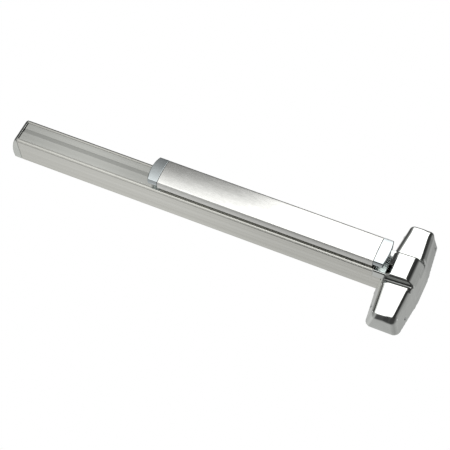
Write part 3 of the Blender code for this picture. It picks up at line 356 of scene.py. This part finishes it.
def surface_net(name, field, low, high, step, blur=1):
    """Mesh of field(x, h, z) = 0 over a box in mm, where h is the distance from the door.

    Vertices are moved onto the surface and shaded with the field's own normals.
    """
    counts = [int(math.ceil((b - a) / step)) + 3 for a, b in zip(low, high)]
    start = np.array(low) - step
    axes = [start[i] + step * np.arange(counts[i]) for i in range(3)]
    grid = np.stack(np.meshgrid(*axes, indexing="ij"), -1)
    values = field(grid[..., 0], -grid[..., 1], grid[..., 2])
    inside = values < 0.0
    corner_sum = np.zeros(tuple(c - 1 for c in counts), np.int32)
    for a in (0, 1):
        for b in (0, 1):
            for c in (0, 1):
                corner_sum += inside[a:counts[0] - 1 + a, b:counts[1] - 1 + b, c:counts[2] - 1 + c]
    active = (corner_sum > 0) & (corner_sum < 8)
    index = -np.ones(active.shape, np.int64)
    index[active] = np.arange(active.sum())
    cells = np.argwhere(active)
    total = np.zeros((len(cells), 3))
    crossings = np.zeros(len(cells))
    offsets = [(a, b, c) for a in (0, 1) for b in (0, 1) for c in (0, 1)]
    for first in offsets:
        for axis in range(3):
            if first[axis]:
                continue
            second = list(first)
            second[axis] = 1
            va = values[tuple((cells + first).T)]
            vb = values[tuple((cells + second).T)]
            crossed = (va < 0) != (vb < 0)
            share = np.where(crossed, va / np.where(crossed, va - vb, 1.0), 0.0)
            point = cells + np.array(first, float)
            point[:, axis] += share
            total[crossed] += point[crossed]
            crossings[crossed] += 1
    points = np.clip(start + step * total / crossings[:, None], low, high)
    faces = []
    for axis in range(3):
        u, v = [i for i in range(3) if i != axis]
        ahead = [slice(None)] * 3
        behind = [slice(None)] * 3
        ahead[axis] = slice(1, None)
        behind[axis] = slice(None, -1)
        flips = inside[tuple(behind)] != inside[tuple(ahead)]
        edges = np.argwhere(flips)
        edges = edges[(edges[:, u] > 0) & (edges[:, v] > 0)
                      & (edges[:, u] < counts[u] - 1) & (edges[:, v] < counts[v] - 1)]
        quad = []
        for du, dv in ((-1, -1), (0, -1), (0, 0), (-1, 0)):
            cell = edges.copy()
            cell[:, u] += du
            cell[:, v] += dv
            quad.append(index[tuple(cell.T)])
        quad = np.stack(quad, 1)
        outward = inside[tuple(edges.T)]
        if axis == 1:
            outward = ~outward
        quad[~outward] = quad[~outward][:, ::-1]
        faces.append(quad)
    faces = np.concatenate(faces)

    def slope(p, reach=0.02):
        result = np.zeros_like(p)
        for axis in range(3):
            ahead, behind = p.copy(), p.copy()
            ahead[:, axis] += reach
            behind[:, axis] -= reach
            result[:, axis] = (field(ahead[:, 0], -ahead[:, 1], ahead[:, 2])
                               - field(behind[:, 0], -behind[:, 1], behind[:, 2])) / (2 * reach)
        return result

    for _ in range(3):
        gradient = slope(points)
        steep = np.maximum((gradient ** 2).sum(1), 0.2)
        move = -(field(points[:, 0], -points[:, 1], points[:, 2]) / steep)[:, None] * gradient
        points = points + np.clip(move, -0.6 * step, 0.6 * step)
    normals = slope(points, 0.5 * step)
    normals /= np.maximum(np.linalg.norm(normals, axis=1), 1e-6)[:, None]
    for _ in range(blur):
        spread = normals.copy()
        for corner in range(4):
            neighbours = normals[faces[:, corner - 1]] + normals[faces[:, corner - 3]]
            np.add.at(spread, faces[:, corner], neighbours)
        normals = spread / np.maximum(np.linalg.norm(spread, axis=1), 1e-6)[:, None]
    mesh = bpy.data.meshes.new(name)
    mesh.from_pydata((points * MM).tolist(), [], faces.tolist())
    mesh.update()
    mesh.shade_smooth()
    return mesh, normals


def soften(mesh, normals):
    mesh.normals_split_custom_set_from_vertices(normals.tolist())


def meet(a, b, radius):
    """Intersection of two fields with a rounded edge."""
    return np.minimum(-radius, np.maximum(a, b)) + np.hypot(np.maximum(a + radius, 0.0),
                                                          np.maximum(b + radius, 0.0))


def join(a, b, radius):
    """Union of two fields with a filleted corner."""
    return -meet(-a, -b, radius)


# ------------------------------------------------------------------ head cover
SHELL = 2.5
HEAD_MID = HEAD_HIGH[0]
HEAD_END = HEAD_MID - 9.5       # half width at the two ends
HEAD_FLAT = 27.0                # half the height over which the sides run parallel
FOOT_H = 28.0                   # the walls lean in by the foot insets up to here, then by the top insets
FOOT_INSET = 7.5
FOOT_END_INSET = 3.0
TOP_RISE = 42.0
TOP_INSET = 8.5
TOP_END_INSET = (10.0, 2.6)     # pairs give the lower and the upper end
CORNER_ROUND = (12.0, 7.5)
LOBE_H = 52.0
LOBE_START = 37.0
LOBE_RUN = 75.5
LOBE_FALL = (14.0, 5.0)
LOBE_SLOPE = 0.085
LOBE_ROUND = 8.0
RIGHT_ROUND = 2.5               # added to the rounding of the lobes' right edges
RIGHT_BLEND = 10.0
END_ROUND = 2.5                 # taken from the rounding of the upper lobe's end
END_START = 92.0
END_BLEND = 16.0
LOBE_INNER = 34.0
BASE_H = (49.5, 42.0)
BASE_HALF = 42.0
BASE_FILLET = 2.5
BLOCK_FILLET = 6.0
TONGUE_FRONT = CASE_DEPTH + 2.1
TONGUE_LEFT = HEAD_LOW[0]
TONGUE_RIGHT = -24.0
BLOCK_HALF = 29.8
BLOCK_RAMP = (-31.0, -19.0)     # where the block's front falls to the tongue
BLOCK_CREST = 17.0              # the front slopes down to the left of here, a facet lies to the right
BLOCK_SLOPE = 0.065
BLOCK_BEVEL = 3.0               # along the block's and the tongue's lower edge
BLOCK_ROUND = (1.8, 7.5)
TONGUE_BEVEL = 2.2
FACET_NORMAL = (0.678, 0.735)
DIAGONAL = 0.707
SCREW_LEVELS = (99.0, -76.0)
SCREW_H = 10.5
SEAT_DEPTH = 0.9
SEAT_RADIUS = 3.0
SHANK_RADIUS = 1.7
ROOM_RIGHT = -22.5              # the case's end reaches into the cover up to here
CASE_GAP = 0.3
CASE_ROUND = 2.3


def by_end(z, pair):
    """The first of a pair of values below the bar's axis, the second above it."""
    return np.where(z < 0.0, pair[0], pair[1])


def head_outer(x, h, z):
    """Outside of the head cover, without the door plane."""
    tall = np.abs(z)
    low_part = h < FOOT_H
    rise = (h - FOOT_H) / TOP_RISE
    inset = np.where(low_part, h * FOOT_INSET / FOOT_H, FOOT_INSET + rise * TOP_INSET)
    end_inset = np.where(low_part, h * FOOT_END_INSET / FOOT_H,
                         FOOT_END_INSET + rise * by_end(z, TOP_END_INSET))
    taper = np.maximum(tall - HEAD_FLAT, 0.0) * (HEAD_MID - HEAD_END) / (HEAD_TALL - HEAD_FLAT)
    side = (np.abs(x) - (HEAD_MID - taper - inset)) * 0.965
    end = (tall - (HEAD_TALL - end_inset)) * 0.993
    wall = meet(side, end, by_end(z, CORNER_ROUND))
    top = (h - (LOBE_H + LOBE_SLOPE * x - (tall - LOBE_START) * by_end(z, LOBE_FALL) / LOBE_RUN)) * 0.98
    near_end = np.clip((z - END_START) / END_BLEND, 0.0, 1.0)
    to_right = np.clip(x / RIGHT_BLEND, 0.0, 1.0)
    lobe = meet(wall, top, LOBE_ROUND + RIGHT_ROUND * to_right - END_ROUND * near_end)
    lobe = meet(lobe, LOBE_INNER - tall, 5.0)
    base = meet(meet(side, h - by_end(z, BASE_H) - LOBE_SLOPE * x, 4.0), tall - BASE_HALF, 1.0)
    body = join(lobe, base, BASE_FILLET)
    share = np.clip((BLOCK_RAMP[1] - x) / (BLOCK_RAMP[1] - BLOCK_RAMP[0]), 0.0, 1.0)
    share = share * share * (3.0 - 2.0 * share)
    height = BLOCK_FRONT - BLOCK_SLOPE * np.maximum(BLOCK_CREST - x, 0.0)
    height = height * (1.0 - share) + TONGUE_FRONT * share
    front = (h - height) * 0.96
    facet = (x - BLOCK_CREST) * FACET_NORMAL[0] + (h - BLOCK_FRONT) * FACET_NORMAL[1]
    bevel = (h - height - z - BLOCK_HALF + BLOCK_BEVEL) * DIAGONAL
    block = meet(meet(front, facet, 5.0), side, 1.6)
    block = meet(block, tall - BLOCK_HALF, by_end(z, BLOCK_ROUND))
    block = meet(block, bevel, 0.8)
    block = meet(block, 20.0 - h, 0.0)
    tongue = meet(meet(h - TONGUE_FRONT, tall - BLOCK_HALF, 1.2), TONGUE_LEFT - x, 0.8)
    tongue = meet(tongue, (h - TONGUE_FRONT - z - BLOCK_HALF + TONGUE_BEVEL) * DIAGONAL, 0.5)
    tongue = meet(tongue, meet(x - TONGUE_RIGHT, 40.0 - h, 0.0), 0.0)
    return join(join(body, block, BLOCK_FILLET), tongue, 0.3)


def bore(x, h, z, centre, radius, near, far):
    """Round hole along X at centre = (h, z), from |x| near to far."""
    round_part = np.hypot(h - centre[0], z - centre[1]) - radius
    return np.maximum(round_part, np.maximum(near - np.abs(x), np.abs(x) - far))


def head_field(x, h, z):
    outer = head_outer(x, h, z)
    shell = np.maximum(outer, -(outer + SHELL))
    shell = np.maximum(shell, -h)
    room = meet(np.abs(z) - (CASE_HALF + CASE_GAP), h - (CASE_DEPTH + CASE_GAP), CASE_ROUND)
    room = meet(room, x - ROOM_RIGHT, 0.0)
    shell = np.maximum(shell, -room)
    for level in SCREW_LEVELS:
        taper = (abs(level) - HEAD_FLAT) * (HEAD_MID - HEAD_END) / (HEAD_TALL - HEAD_FLAT)
        seat = HEAD_MID - taper - SCREW_H * FOOT_INSET / FOOT_H - SEAT_DEPTH
        shell = np.maximum(shell, -bore(x, h, z, (SCREW_H, level), SEAT_RADIUS, seat, 60.0))
        shell = np.maximum(shell, -bore(x, h, z, (SCREW_H, level), SHANK_RADIUS, 20.0, 60.0))
    return shell


head_box = ((TONGUE_LEFT, -BLOCK_FRONT - 0.5, -HEAD_TALL), (HEAD_MID, 0.0, HEAD_TALL))
head_step = 1.0
head_mesh, head_normals = surface_net("head_cover_skin", head_field, *head_box, head_step, 2)
soften(head_mesh, head_normals)
piece("head_cover_skin", head_mesh, CHROME, "housing", ["head_cover"])

# ------------------------------------------------------------------ channel case and cover plate
WALL = 2.2
RIM_WIDTH = 7.0
SLOT_HALF = CASE_HALF - RIM_WIDTH
SIDE_LINE = -52.8
SIDE_LINE_DEPTH = 0.55
inner_half = CASE_HALF - WALL
lip = -CASE_DEPTH + WALL
fillet_in = 1.0
half = [(-CASE_DEPTH + 0.35, SLOT_HALF), (-CASE_DEPTH + 0.1, SLOT_HALF + 0.1),
        (-CASE_DEPTH, SLOT_HALF + 0.35)]
facet_start = (-CASE_DEPTH, CASE_HALF - 3.5)
facet_end = (-CASE_DEPTH + 1.65, CASE_HALF - 0.25)
half += rounded((-CASE_DEPTH, SLOT_HALF), facet_start, facet_end, 0.8, 4)
half += [facet_end, (-CASE_DEPTH + 2.1, CASE_HALF)]
half += [(SIDE_LINE - 0.75, CASE_HALF), (SIDE_LINE - 0.45, CASE_HALF - 0.3),
         (SIDE_LINE - 0.2, CASE_HALF - SIDE_LINE_DEPTH), (SIDE_LINE + 0.2, CASE_HALF - SIDE_LINE_DEPTH),
         (SIDE_LINE + 0.45, CASE_HALF - 0.3), (SIDE_LINE + 0.75, CASE_HALF)]
half += arc((-0.8, CASE_HALF - 0.8), 0.8, 90, 0, 4)
inner = [(-WALL, inner_half - 0.8)] + arc((lip + fillet_in, inner_half - fillet_in), fillet_in, 90, 180)
inner += [(lip, SLOT_HALF)]
outline = half + [(y, -z) for y, z in reversed(half)]
outline += [(y, -z) for y, z in reversed(inner)] + inner
END_SLANT = 7.0


def slanted_left(y):
    return CASE_LOW[0] + (y + CASE_DEPTH) / CASE_DEPTH * END_SLANT


def case_right(y):
    return CASE_HIGH[0]


case_mesh = extrusion("case_shell", outline, slanted_left, case_right, 12)
piece("case_shell", case_mesh, ALUMINIUM, "housing", ["mechanism_case"])

plate_front = PLATE_LOW[1]
neck = SLOT_HALF - 0.3
flange = PLATE_HIGH[2]
plate_outline = [
    (plate_front, neck - 0.5), (plate_front + 0.15, neck - 0.15), (plate_front + 0.5, neck),
    (lip + 0.3, neck), (lip + 0.3, flange), (PLATE_HIGH[1], flange), (PLATE_HIGH[1], -flange),
    (lip + 0.3, -flange), (lip + 0.3, -neck), (plate_front + 0.5, -neck),
    (plate_front + 0.15, -neck + 0.15), (plate_front, -neck + 0.5),
    (plate_front, GROOVE_LOW - 0.2), (plate_front + 0.15, GROOVE_LOW),
    (plate_front + 0.55, GROOVE_LOW + 0.15), (plate_front + 0.8, GROOVE_LOW + 0.5),
    (plate_front + 0.8, GROOVE_HIGH - 0.5), (plate_front + 0.55, GROOVE_HIGH - 0.15),
    (plate_front + 0.15, GROOVE_HIGH), (plate_front, GROOVE_HIGH + 0.2),
]
plate_mesh = extrusion("case_cover_strip", plate_outline,
                       lambda y: PLATE_LOW[0], lambda y: PLATE_HIGH[0], 6)
piece("case_cover_strip", plate_mesh, PLATE_METAL, "housing", ["case_cover_plate"])

# ------------------------------------------------------------------ far end cap
CAP_H = (-5.0, 0.0, 8.0, 18.0, 30.0, 42.0, 51.0, 56.5, 62.0)
CAP_X = (-829.4, -830.6, -832.6, -833.4, -832.4, -830.0, -827.0, -823.4, -819.0)
CAP_SCREW_H = 26.0
CAP_SCREW_Z = 13.0
CAP_SEAT_X = -830.8
CAP_SEAT_RADIUS = 4.4
CAP_BORE_RADIUS = 2.1
CAP_BORE_END = -815.0
CAP_BOSS_RADIUS = 6.2
CAP_BOSS_END = -827.0


def end_cap_field(x, h, z):
    section = meet(meet(np.abs(z) - CASE_HALF, h - CASE_DEPTH, CASE_ROUND), -h, 1.0)
    face = (np.interp(h, CAP_H, CAP_X) - x) * 0.96
    outer = meet(section, face, 4.0)
    joint = (x - (CASE_LOW[0] - 1.0 + (CASE_DEPTH - h) / CASE_DEPTH * END_SLANT)) * 0.992
    solid = meet(np.maximum(outer, -(outer + 2.6)), joint, 0.5)
    for sign in (-1.0, 1.0):
        spread = np.hypot(h - CAP_SCREW_H, z - sign * CAP_SCREW_Z)
        bore_field = np.maximum(spread - CAP_BORE_RADIUS, x - CAP_BORE_END)
        solid = np.maximum(solid, -np.maximum(spread - CAP_SEAT_RADIUS, x - CAP_SEAT_X))
        solid = np.maximum(solid, -bore_field)
        boss = np.maximum(np.maximum(spread - CAP_BOSS_RADIUS, CAP_SEAT_X - x), x - CAP_BOSS_END)
        solid = np.minimum(solid, np.maximum(boss, -bore_field))
    return solid


cap_mesh, cap_normals = surface_net("end_cap_skin", end_cap_field, ENDCAP_LOW, ENDCAP_HIGH,
                                    0.6)
soften(cap_mesh, cap_normals)
piece("end_cap_skin", cap_mesh, END_METAL, "housing", ["end_cap"])


# ------------------------------------------------------------------ push bar
def crown_height(z):
    return BAR_EDGE + BAR_CROWN * (1.0 - (z / BAR_HALF) ** 2)


BAR_WALL = 1.6
JOINT_INSET = 0.3               # the face and the caps each stand back this much at their joints
EDGE_ROUND = 1.5
EDGE_START = 83.3           # the upper part of the skirt leans inwards from here
EDGE_LEAN = 0.2
face_steps = 40
edge_slope = 2.0 * BAR_CROWN / BAR_HALF
corner_z = BAR_HALF - (BAR_EDGE - EDGE_START) * EDGE_LEAN
corner = (-crown_height(corner_z), corner_z)
outer = [(-BAR_FOOT, BAR_HALF), (-EDGE_START, BAR_HALF)]
outer += rounded((-EDGE_START, BAR_HALF), corner, (corner[0] - edge_slope, corner_z - 1.0), EDGE_ROUND, 6)
edge_end = outer[-1][1]
fillet_points = len(outer)
for i in range(1, face_steps):
    z = edge_end * (1.0 - 2.0 * i / face_steps)
    outer.append((-crown_height(z), z))
outer += [(y, -z) for y, z in reversed(outer[:fillet_points])]
under = [(-BAR_FOOT, BAR_HALF - BAR_WALL)]
for i in range(face_steps + 1):
    z = (BAR_HALF - BAR_WALL) * (1.0 - 2.0 * i / face_steps)
    under.append((-crown_height(z * BAR_HALF / (BAR_HALF - BAR_WALL)) + BAR_WALL, z))
under.append((-BAR_FOOT, -BAR_HALF + BAR_WALL))
bar_mesh = extrusion("push_bar_face", outer + under[::-1], lambda y: BAR_LOW[0] + JOINT_INSET,
                     lambda y: BAR_HIGH[0] - JOINT_INSET, 10)
piece("push_bar_face", bar_mesh, BAR_METAL, "push_bar", ["push_bar_cover"])

CAP_SCREW_Y = 81.0
BAR_CAP_BOW = 4.0               # how much less the caps reach at their corners than in the middle
BAR_CAP_WALL = 2.2
BAR_CAP_PLATE = 2.4
BAR_CAP_BORE = 1.7
BAR_CAP_BORE_DEPTH = 4.0
for side, sign in (("left", -1.0), ("right", 1.0)):
    low, high = box_mm("push_bar_end_cap_" + side)
    joint_x = high[0] if sign < 0 else low[0]
    tip_x = low[0] if sign < 0 else high[0]

    foot = -high[1]

    def bar_cap_field(x, h, z, sign=sign, joint_x=joint_x, tip_x=tip_x, foot=foot):
        reach = sign * tip_x - BAR_CAP_BOW * (z / BAR_HALF) ** 2
        end = (sign * x - reach) * 0.97
        crown = (h - BAR_EDGE - BAR_CROWN * (1.0 - (z / BAR_HALF) ** 2)) * 0.94
        flank = np.abs(z) - BAR_HALF + np.maximum(h - EDGE_START, 0.0) * EDGE_LEAN
        skin = meet(meet(crown, flank, EDGE_ROUND), end, 1.2)
        solid = np.maximum(skin, -(skin + BAR_CAP_WALL))
        start = sign * joint_x + JOINT_INSET - sign * x
        wall = np.maximum(skin, sign * x - sign * joint_x - BAR_CAP_PLATE)
        solid = np.minimum(solid, wall)
        solid = meet(solid, start, 0.35)
        solid = np.maximum(solid, foot - h)
        hole = np.maximum(np.hypot(h - CAP_SCREW_Y, z) - BAR_CAP_BORE,
                          sign * x - sign * joint_x - BAR_CAP_BORE_DEPTH)
        return np.maximum(solid, -hole)

    cap_mesh, cap_normals = surface_net("push_bar_cap_" + side, bar_cap_field, low, high,
                                        0.6)
    soften(cap_mesh, cap_normals)
    piece("push_bar_cap_" + side, cap_mesh, CAP_METAL, "push_bar", ["push_bar_end_cap_" + side])

# ------------------------------------------------------------------ carried-over pieces
finishes = {
    "push_bar_rail": RAIL_METAL, "damper_cylinder": BLACK, "push_stop": RUBBER,
    "crank_spring": SPRING, "finger_spring": SPRING, "bell_crank": CRANK_METAL,
    "lift_lever": CRANK_METAL, "push_bar_lug": CRANK_METAL, "rod_end_clevis": CRANK_METAL,
    "control_rod": ROD_METAL, "lift_finger": ROD_METAL, "crank_bracket": ZINC,
    "mechanism_base_plate": ZINC, "head_base_plate": ZINC, "rod_guide": ZINC,
    "finger_guide": ZINC, "end_cap_bracket": ZINC, "head_joint_strap": ZINC, "bar_end_block": ZINC,
}
WELD_REACH = 0.00001
CREASE_ANGLE = math.radians(32)
for name, obj in nodes.items():
    material = STEEL
    for start, finish in finishes.items():
        if name.startswith(start) and name != "lift_lever_stud":
            material = finish
    obj.data.materials.clear()
    obj.data.materials.append(material)
    obj.data.shade_smooth()
    weld = obj.modifiers.new("weld", "WELD")
    weld.merge_threshold = WELD_REACH
    split = obj.modifiers.new("crease", "EDGE_SPLIT")
    split.split_angle = CREASE_ANGLE

# ------------------------------------------------------------------ studio
scene = bpy.context.scene
scene.view_settings.view_transform = "Standard"


def stage_mesh(name, verts, faces, material):
    mesh = bpy.data.meshes.new(name)
    mesh.from_pydata(verts, [], faces)
    mesh.materials.append(material)
    obj = bpy.data.objects.new(name, mesh)
    scene.collection.objects.link(obj)
    return obj


FLOOR_Z = -2.2
FLOOR_HALF = 30
floor_material, floor_tree, _ = new_material("pale_floor")
glow = node(floor_tree, "ShaderNodeEmission", Strength=1.0)
glow.inputs["Color"].default_value = (0.93, 0.93, 0.92, 1.0)
floor_tree.links.new(glow.outputs[0], floor_tree.nodes["Material Output"].inputs["Surface"])
floor_corners = [(sx * FLOOR_HALF, sy * FLOOR_HALF, FLOOR_Z)
                 for sx, sy in ((-1, -1), (1, -1), (1, 1), (-1, 1))]
floor = stage_mesh("studio_floor", floor_corners, [(0, 1, 2, 3)], floor_material)
floor.visible_glossy = False
floor.visible_diffuse = False
floor.visible_shadow = False

# Light tunnel around the device. Its brightness is set by the place along X in metres (columns)
# and by the angle about X, in degrees from -Y towards +Z (rows)
TUNNEL_RADIUS = 1.25
LIGHT_TINT = (1.0, 1.0, 0.985)
TUNNEL_X = (-4.0, -1.60, -1.32, -1.08, -0.87, -0.82, -0.78, -0.68, -0.61,
            -0.545, -0.49, -0.02, 0.07, 0.45, 0.90, 1.60, 4.0)
TUNNEL_ROWS = (
    (-180, (0.45, 0.52, 0.55, 0.58, 0.60, 0.60, 0.60, 0.60, 0.60,
          0.58, 0.56, 0.55, 0.54, 0.50, 0.48, 0.45, 0.45)),
    (-145, (0.45, 0.55, 0.60, 0.64, 0.64, 0.64, 0.63, 0.60, 0.58,
          0.56, 0.55, 0.52, 0.50, 0.48, 0.42, 0.40, 0.42)),
    (-122, (0.35, 0.40, 0.46, 0.48, 0.48, 0.47, 0.46, 0.42, 0.38,
          0.38, 0.40, 0.42, 0.40, 0.36, 0.30, 0.30, 0.35)),
    (-100, (0.28, 0.34, 0.40, 0.43, 0.43, 0.42, 0.41, 0.36, 0.28,
          0.18, 0.12, 0.05, 0.05, 0.05, 0.05, 0.20, 0.32)),
    (-60, (0.20, 0.28, 0.34, 0.38, 0.38, 0.38, 0.37, 0.32, 0.24,
          0.14, 0.10, 0.05, 0.05, 0.05, 0.05, 0.10, 0.30)),
    (-34, (0.20, 0.30, 0.38, 0.42, 0.42, 0.42, 0.42, 0.38, 0.30,
          0.18, 0.12, 0.05, 0.04, 0.04, 0.04, 0.10, 0.30)),
    (-26, (0.10, 0.20, 1.05, 1.35, 1.35, 1.35, 1.35, 1.40, 1.45,
          1.50, 1.60, 1.60, 0.05, 0.03, 0.03, 0.12, 0.30)),
    (-5, (0.06, 0.10, 0.95, 1.15, 1.10, 1.10, 1.12, 1.20, 1.30,
          1.50, 1.70, 1.70, 0.06, 0.03, 0.03, 0.14, 0.30)),
    (6, (0.05, 0.06, 0.75, 0.90, 0.86, 0.88, 0.95, 1.08, 1.20,
          1.40, 1.70, 1.70, 0.06, 0.03, 0.03, 0.18, 0.30)),
    (16, (0.05, 0.05, 0.60, 0.75, 0.64, 0.66, 0.74, 0.95, 1.05,
          1.30, 1.70, 1.70, 0.06, 0.03, 0.03, 0.24, 0.32)),
    (34, (0.05, 0.05, 0.44, 0.62, 0.40, 0.42, 0.48, 0.62, 0.72,
          1.00, 1.70, 1.70, 0.06, 0.03, 0.03, 0.30, 0.34)),
    (48, (0.05, 0.05, 0.32, 0.40, 0.29, 0.31, 0.35, 0.46, 0.54,
          0.95, 1.70, 1.70, 0.06, 0.03, 0.04, 0.34, 0.36)),
    (62, (0.05, 0.05, 0.20, 0.26, 0.26, 0.30, 0.33, 0.42, 0.50,
          0.95, 1.60, 1.60, 0.08, 0.04, 0.06, 0.36, 0.38)),
    (70, (0.05, 0.05, 0.10, 0.12, 0.12, 0.12, 0.14, 0.16, 0.18,
          0.20, 0.22, 0.20, 0.10, 0.06, 0.08, 0.36, 0.40)),
    (84, (0.06, 0.06, 0.08, 0.09, 0.09, 0.09, 0.10, 0.12, 0.14,
          0.14, 0.12, 0.08, 0.06, 0.06, 0.10, 0.36, 0.42)),
    (118, (0.10, 0.10, 0.10, 0.10, 0.10, 0.10, 0.12, 0.14, 0.15,
          0.15, 0.12, 0.08, 0.08, 0.10, 0.20, 0.38, 0.42)),
    (140, (0.35, 0.36, 0.38, 0.40, 0.42, 0.42, 0.44, 0.46, 0.48,
          0.50, 0.50, 0.48, 0.46, 0.42, 0.40, 0.40, 0.44)),
)
far_steps = np.array([3.0, 5.0, 8.0, 12.0])
along = np.concatenate([-far_steps[::-1], np.linspace(-2.0, 2.0, 241), far_steps])
around = np.radians(np.linspace(-180.0, 180.0, 241))
row_angles = np.array([row[0] for row in TUNNEL_ROWS] + [180.0])
by_row = np.array([np.interp(along, TUNNEL_X, row[1]) for row in TUNNEL_ROWS + TUNNEL_ROWS[:1]])
levels = np.array([np.interp(np.degrees(around), row_angles, by_row[:, i]) for i in range(len(along))])
tunnel_points = np.stack([np.broadcast_to(along[:, None], levels.shape),
                          np.broadcast_to(-TUNNEL_RADIUS * np.cos(around), levels.shape),
                          np.broadcast_to(TUNNEL_RADIUS * np.sin(around), levels.shape)], -1)
row_length = len(around)
tunnel_faces = [(i * row_length + j, i * row_length + j + 1, (i + 1) * row_length + j + 1,
                 (i + 1) * row_length + j)
                for i in range(len(along) - 1) for j in range(row_length - 1)]
tunnel_material, tunnel_tree, _ = new_material("tunnel_light")
level = node(tunnel_tree, "ShaderNodeAttribute", attribute_name="level")
glow = node(tunnel_tree, "ShaderNodeEmission")
tunnel_tree.links.new(level.outputs["Color"], glow.inputs["Color"])
tunnel_tree.links.new(glow.outputs[0], tunnel_tree.nodes["Material Output"].inputs["Surface"])
tunnel = stage_mesh("light_tunnel", tunnel_points.reshape(-1, 3).tolist(), tunnel_faces, tunnel_material)
shades = np.ones((levels.size, 4))
shades[:, :3] = levels.reshape(-1, 1) * np.array(LIGHT_TINT)
tunnel.data.color_attributes.new("level", "FLOAT_COLOR", "POINT").data.foreach_set("color", shades.ravel())
tunnel.visible_camera = False
tunnel.visible_shadow = False

world = bpy.data.worlds.new("studio")
scene.world = world
world.use_nodes = True
world.node_tree.nodes["Background"].inputs["Color"].default_value = (1.0, 1.0, 1.0, 1.0)

# ------------------------------------------------------------------ camera
VIEW_AZIMUTH = math.radians(24.1565)
VIEW_ELEVATION = math.radians(54.9343)
VIEW_ROLL = math.radians(-0.0477)
VIEW_SHIFT = (0.34028, -0.11515)
VIEW_DISTANCE = 3.04147
VIEW_LENS = 126.317

# The device lies on its back in this view: (x, z, -y) are its right, far and up directions
back = Vector((math.sin(VIEW_AZIMUTH) * math.cos(VIEW_ELEVATION),
               -math.cos(VIEW_AZIMUTH) * math.cos(VIEW_ELEVATION), math.sin(VIEW_ELEVATION)))
flat_right = Vector((math.cos(VIEW_AZIMUTH), math.sin(VIEW_AZIMUTH), 0.0))
flat_up = back.cross(flat_right)
right = flat_right * math.cos(VIEW_ROLL) + flat_up * math.sin(VIEW_ROLL)
up = flat_up * math.cos(VIEW_ROLL) - flat_right * math.sin(VIEW_ROLL)
centre = back * VIEW_DISTANCE - right * VIEW_SHIFT[0] - up * VIEW_SHIFT[1]


def stood_up(v):
    return Vector((v.x, -v.z, v.y))


camera_data = bpy.data.cameras.new("camera")
camera_data.lens = VIEW_LENS
camera_data.sensor_width = 36.0
camera_data.clip_end = 100.0
camera = bpy.data.objects.new("camera", camera_data)
scene.collection.objects.link(camera)
columns = [stood_up(right), stood_up(up), stood_up(back)]
turn = Matrix((columns[0], columns[1], columns[2])).transposed().to_4x4()
camera.matrix_world = Matrix.Translation(stood_up(centre)) @ turn
scene.camera = camera
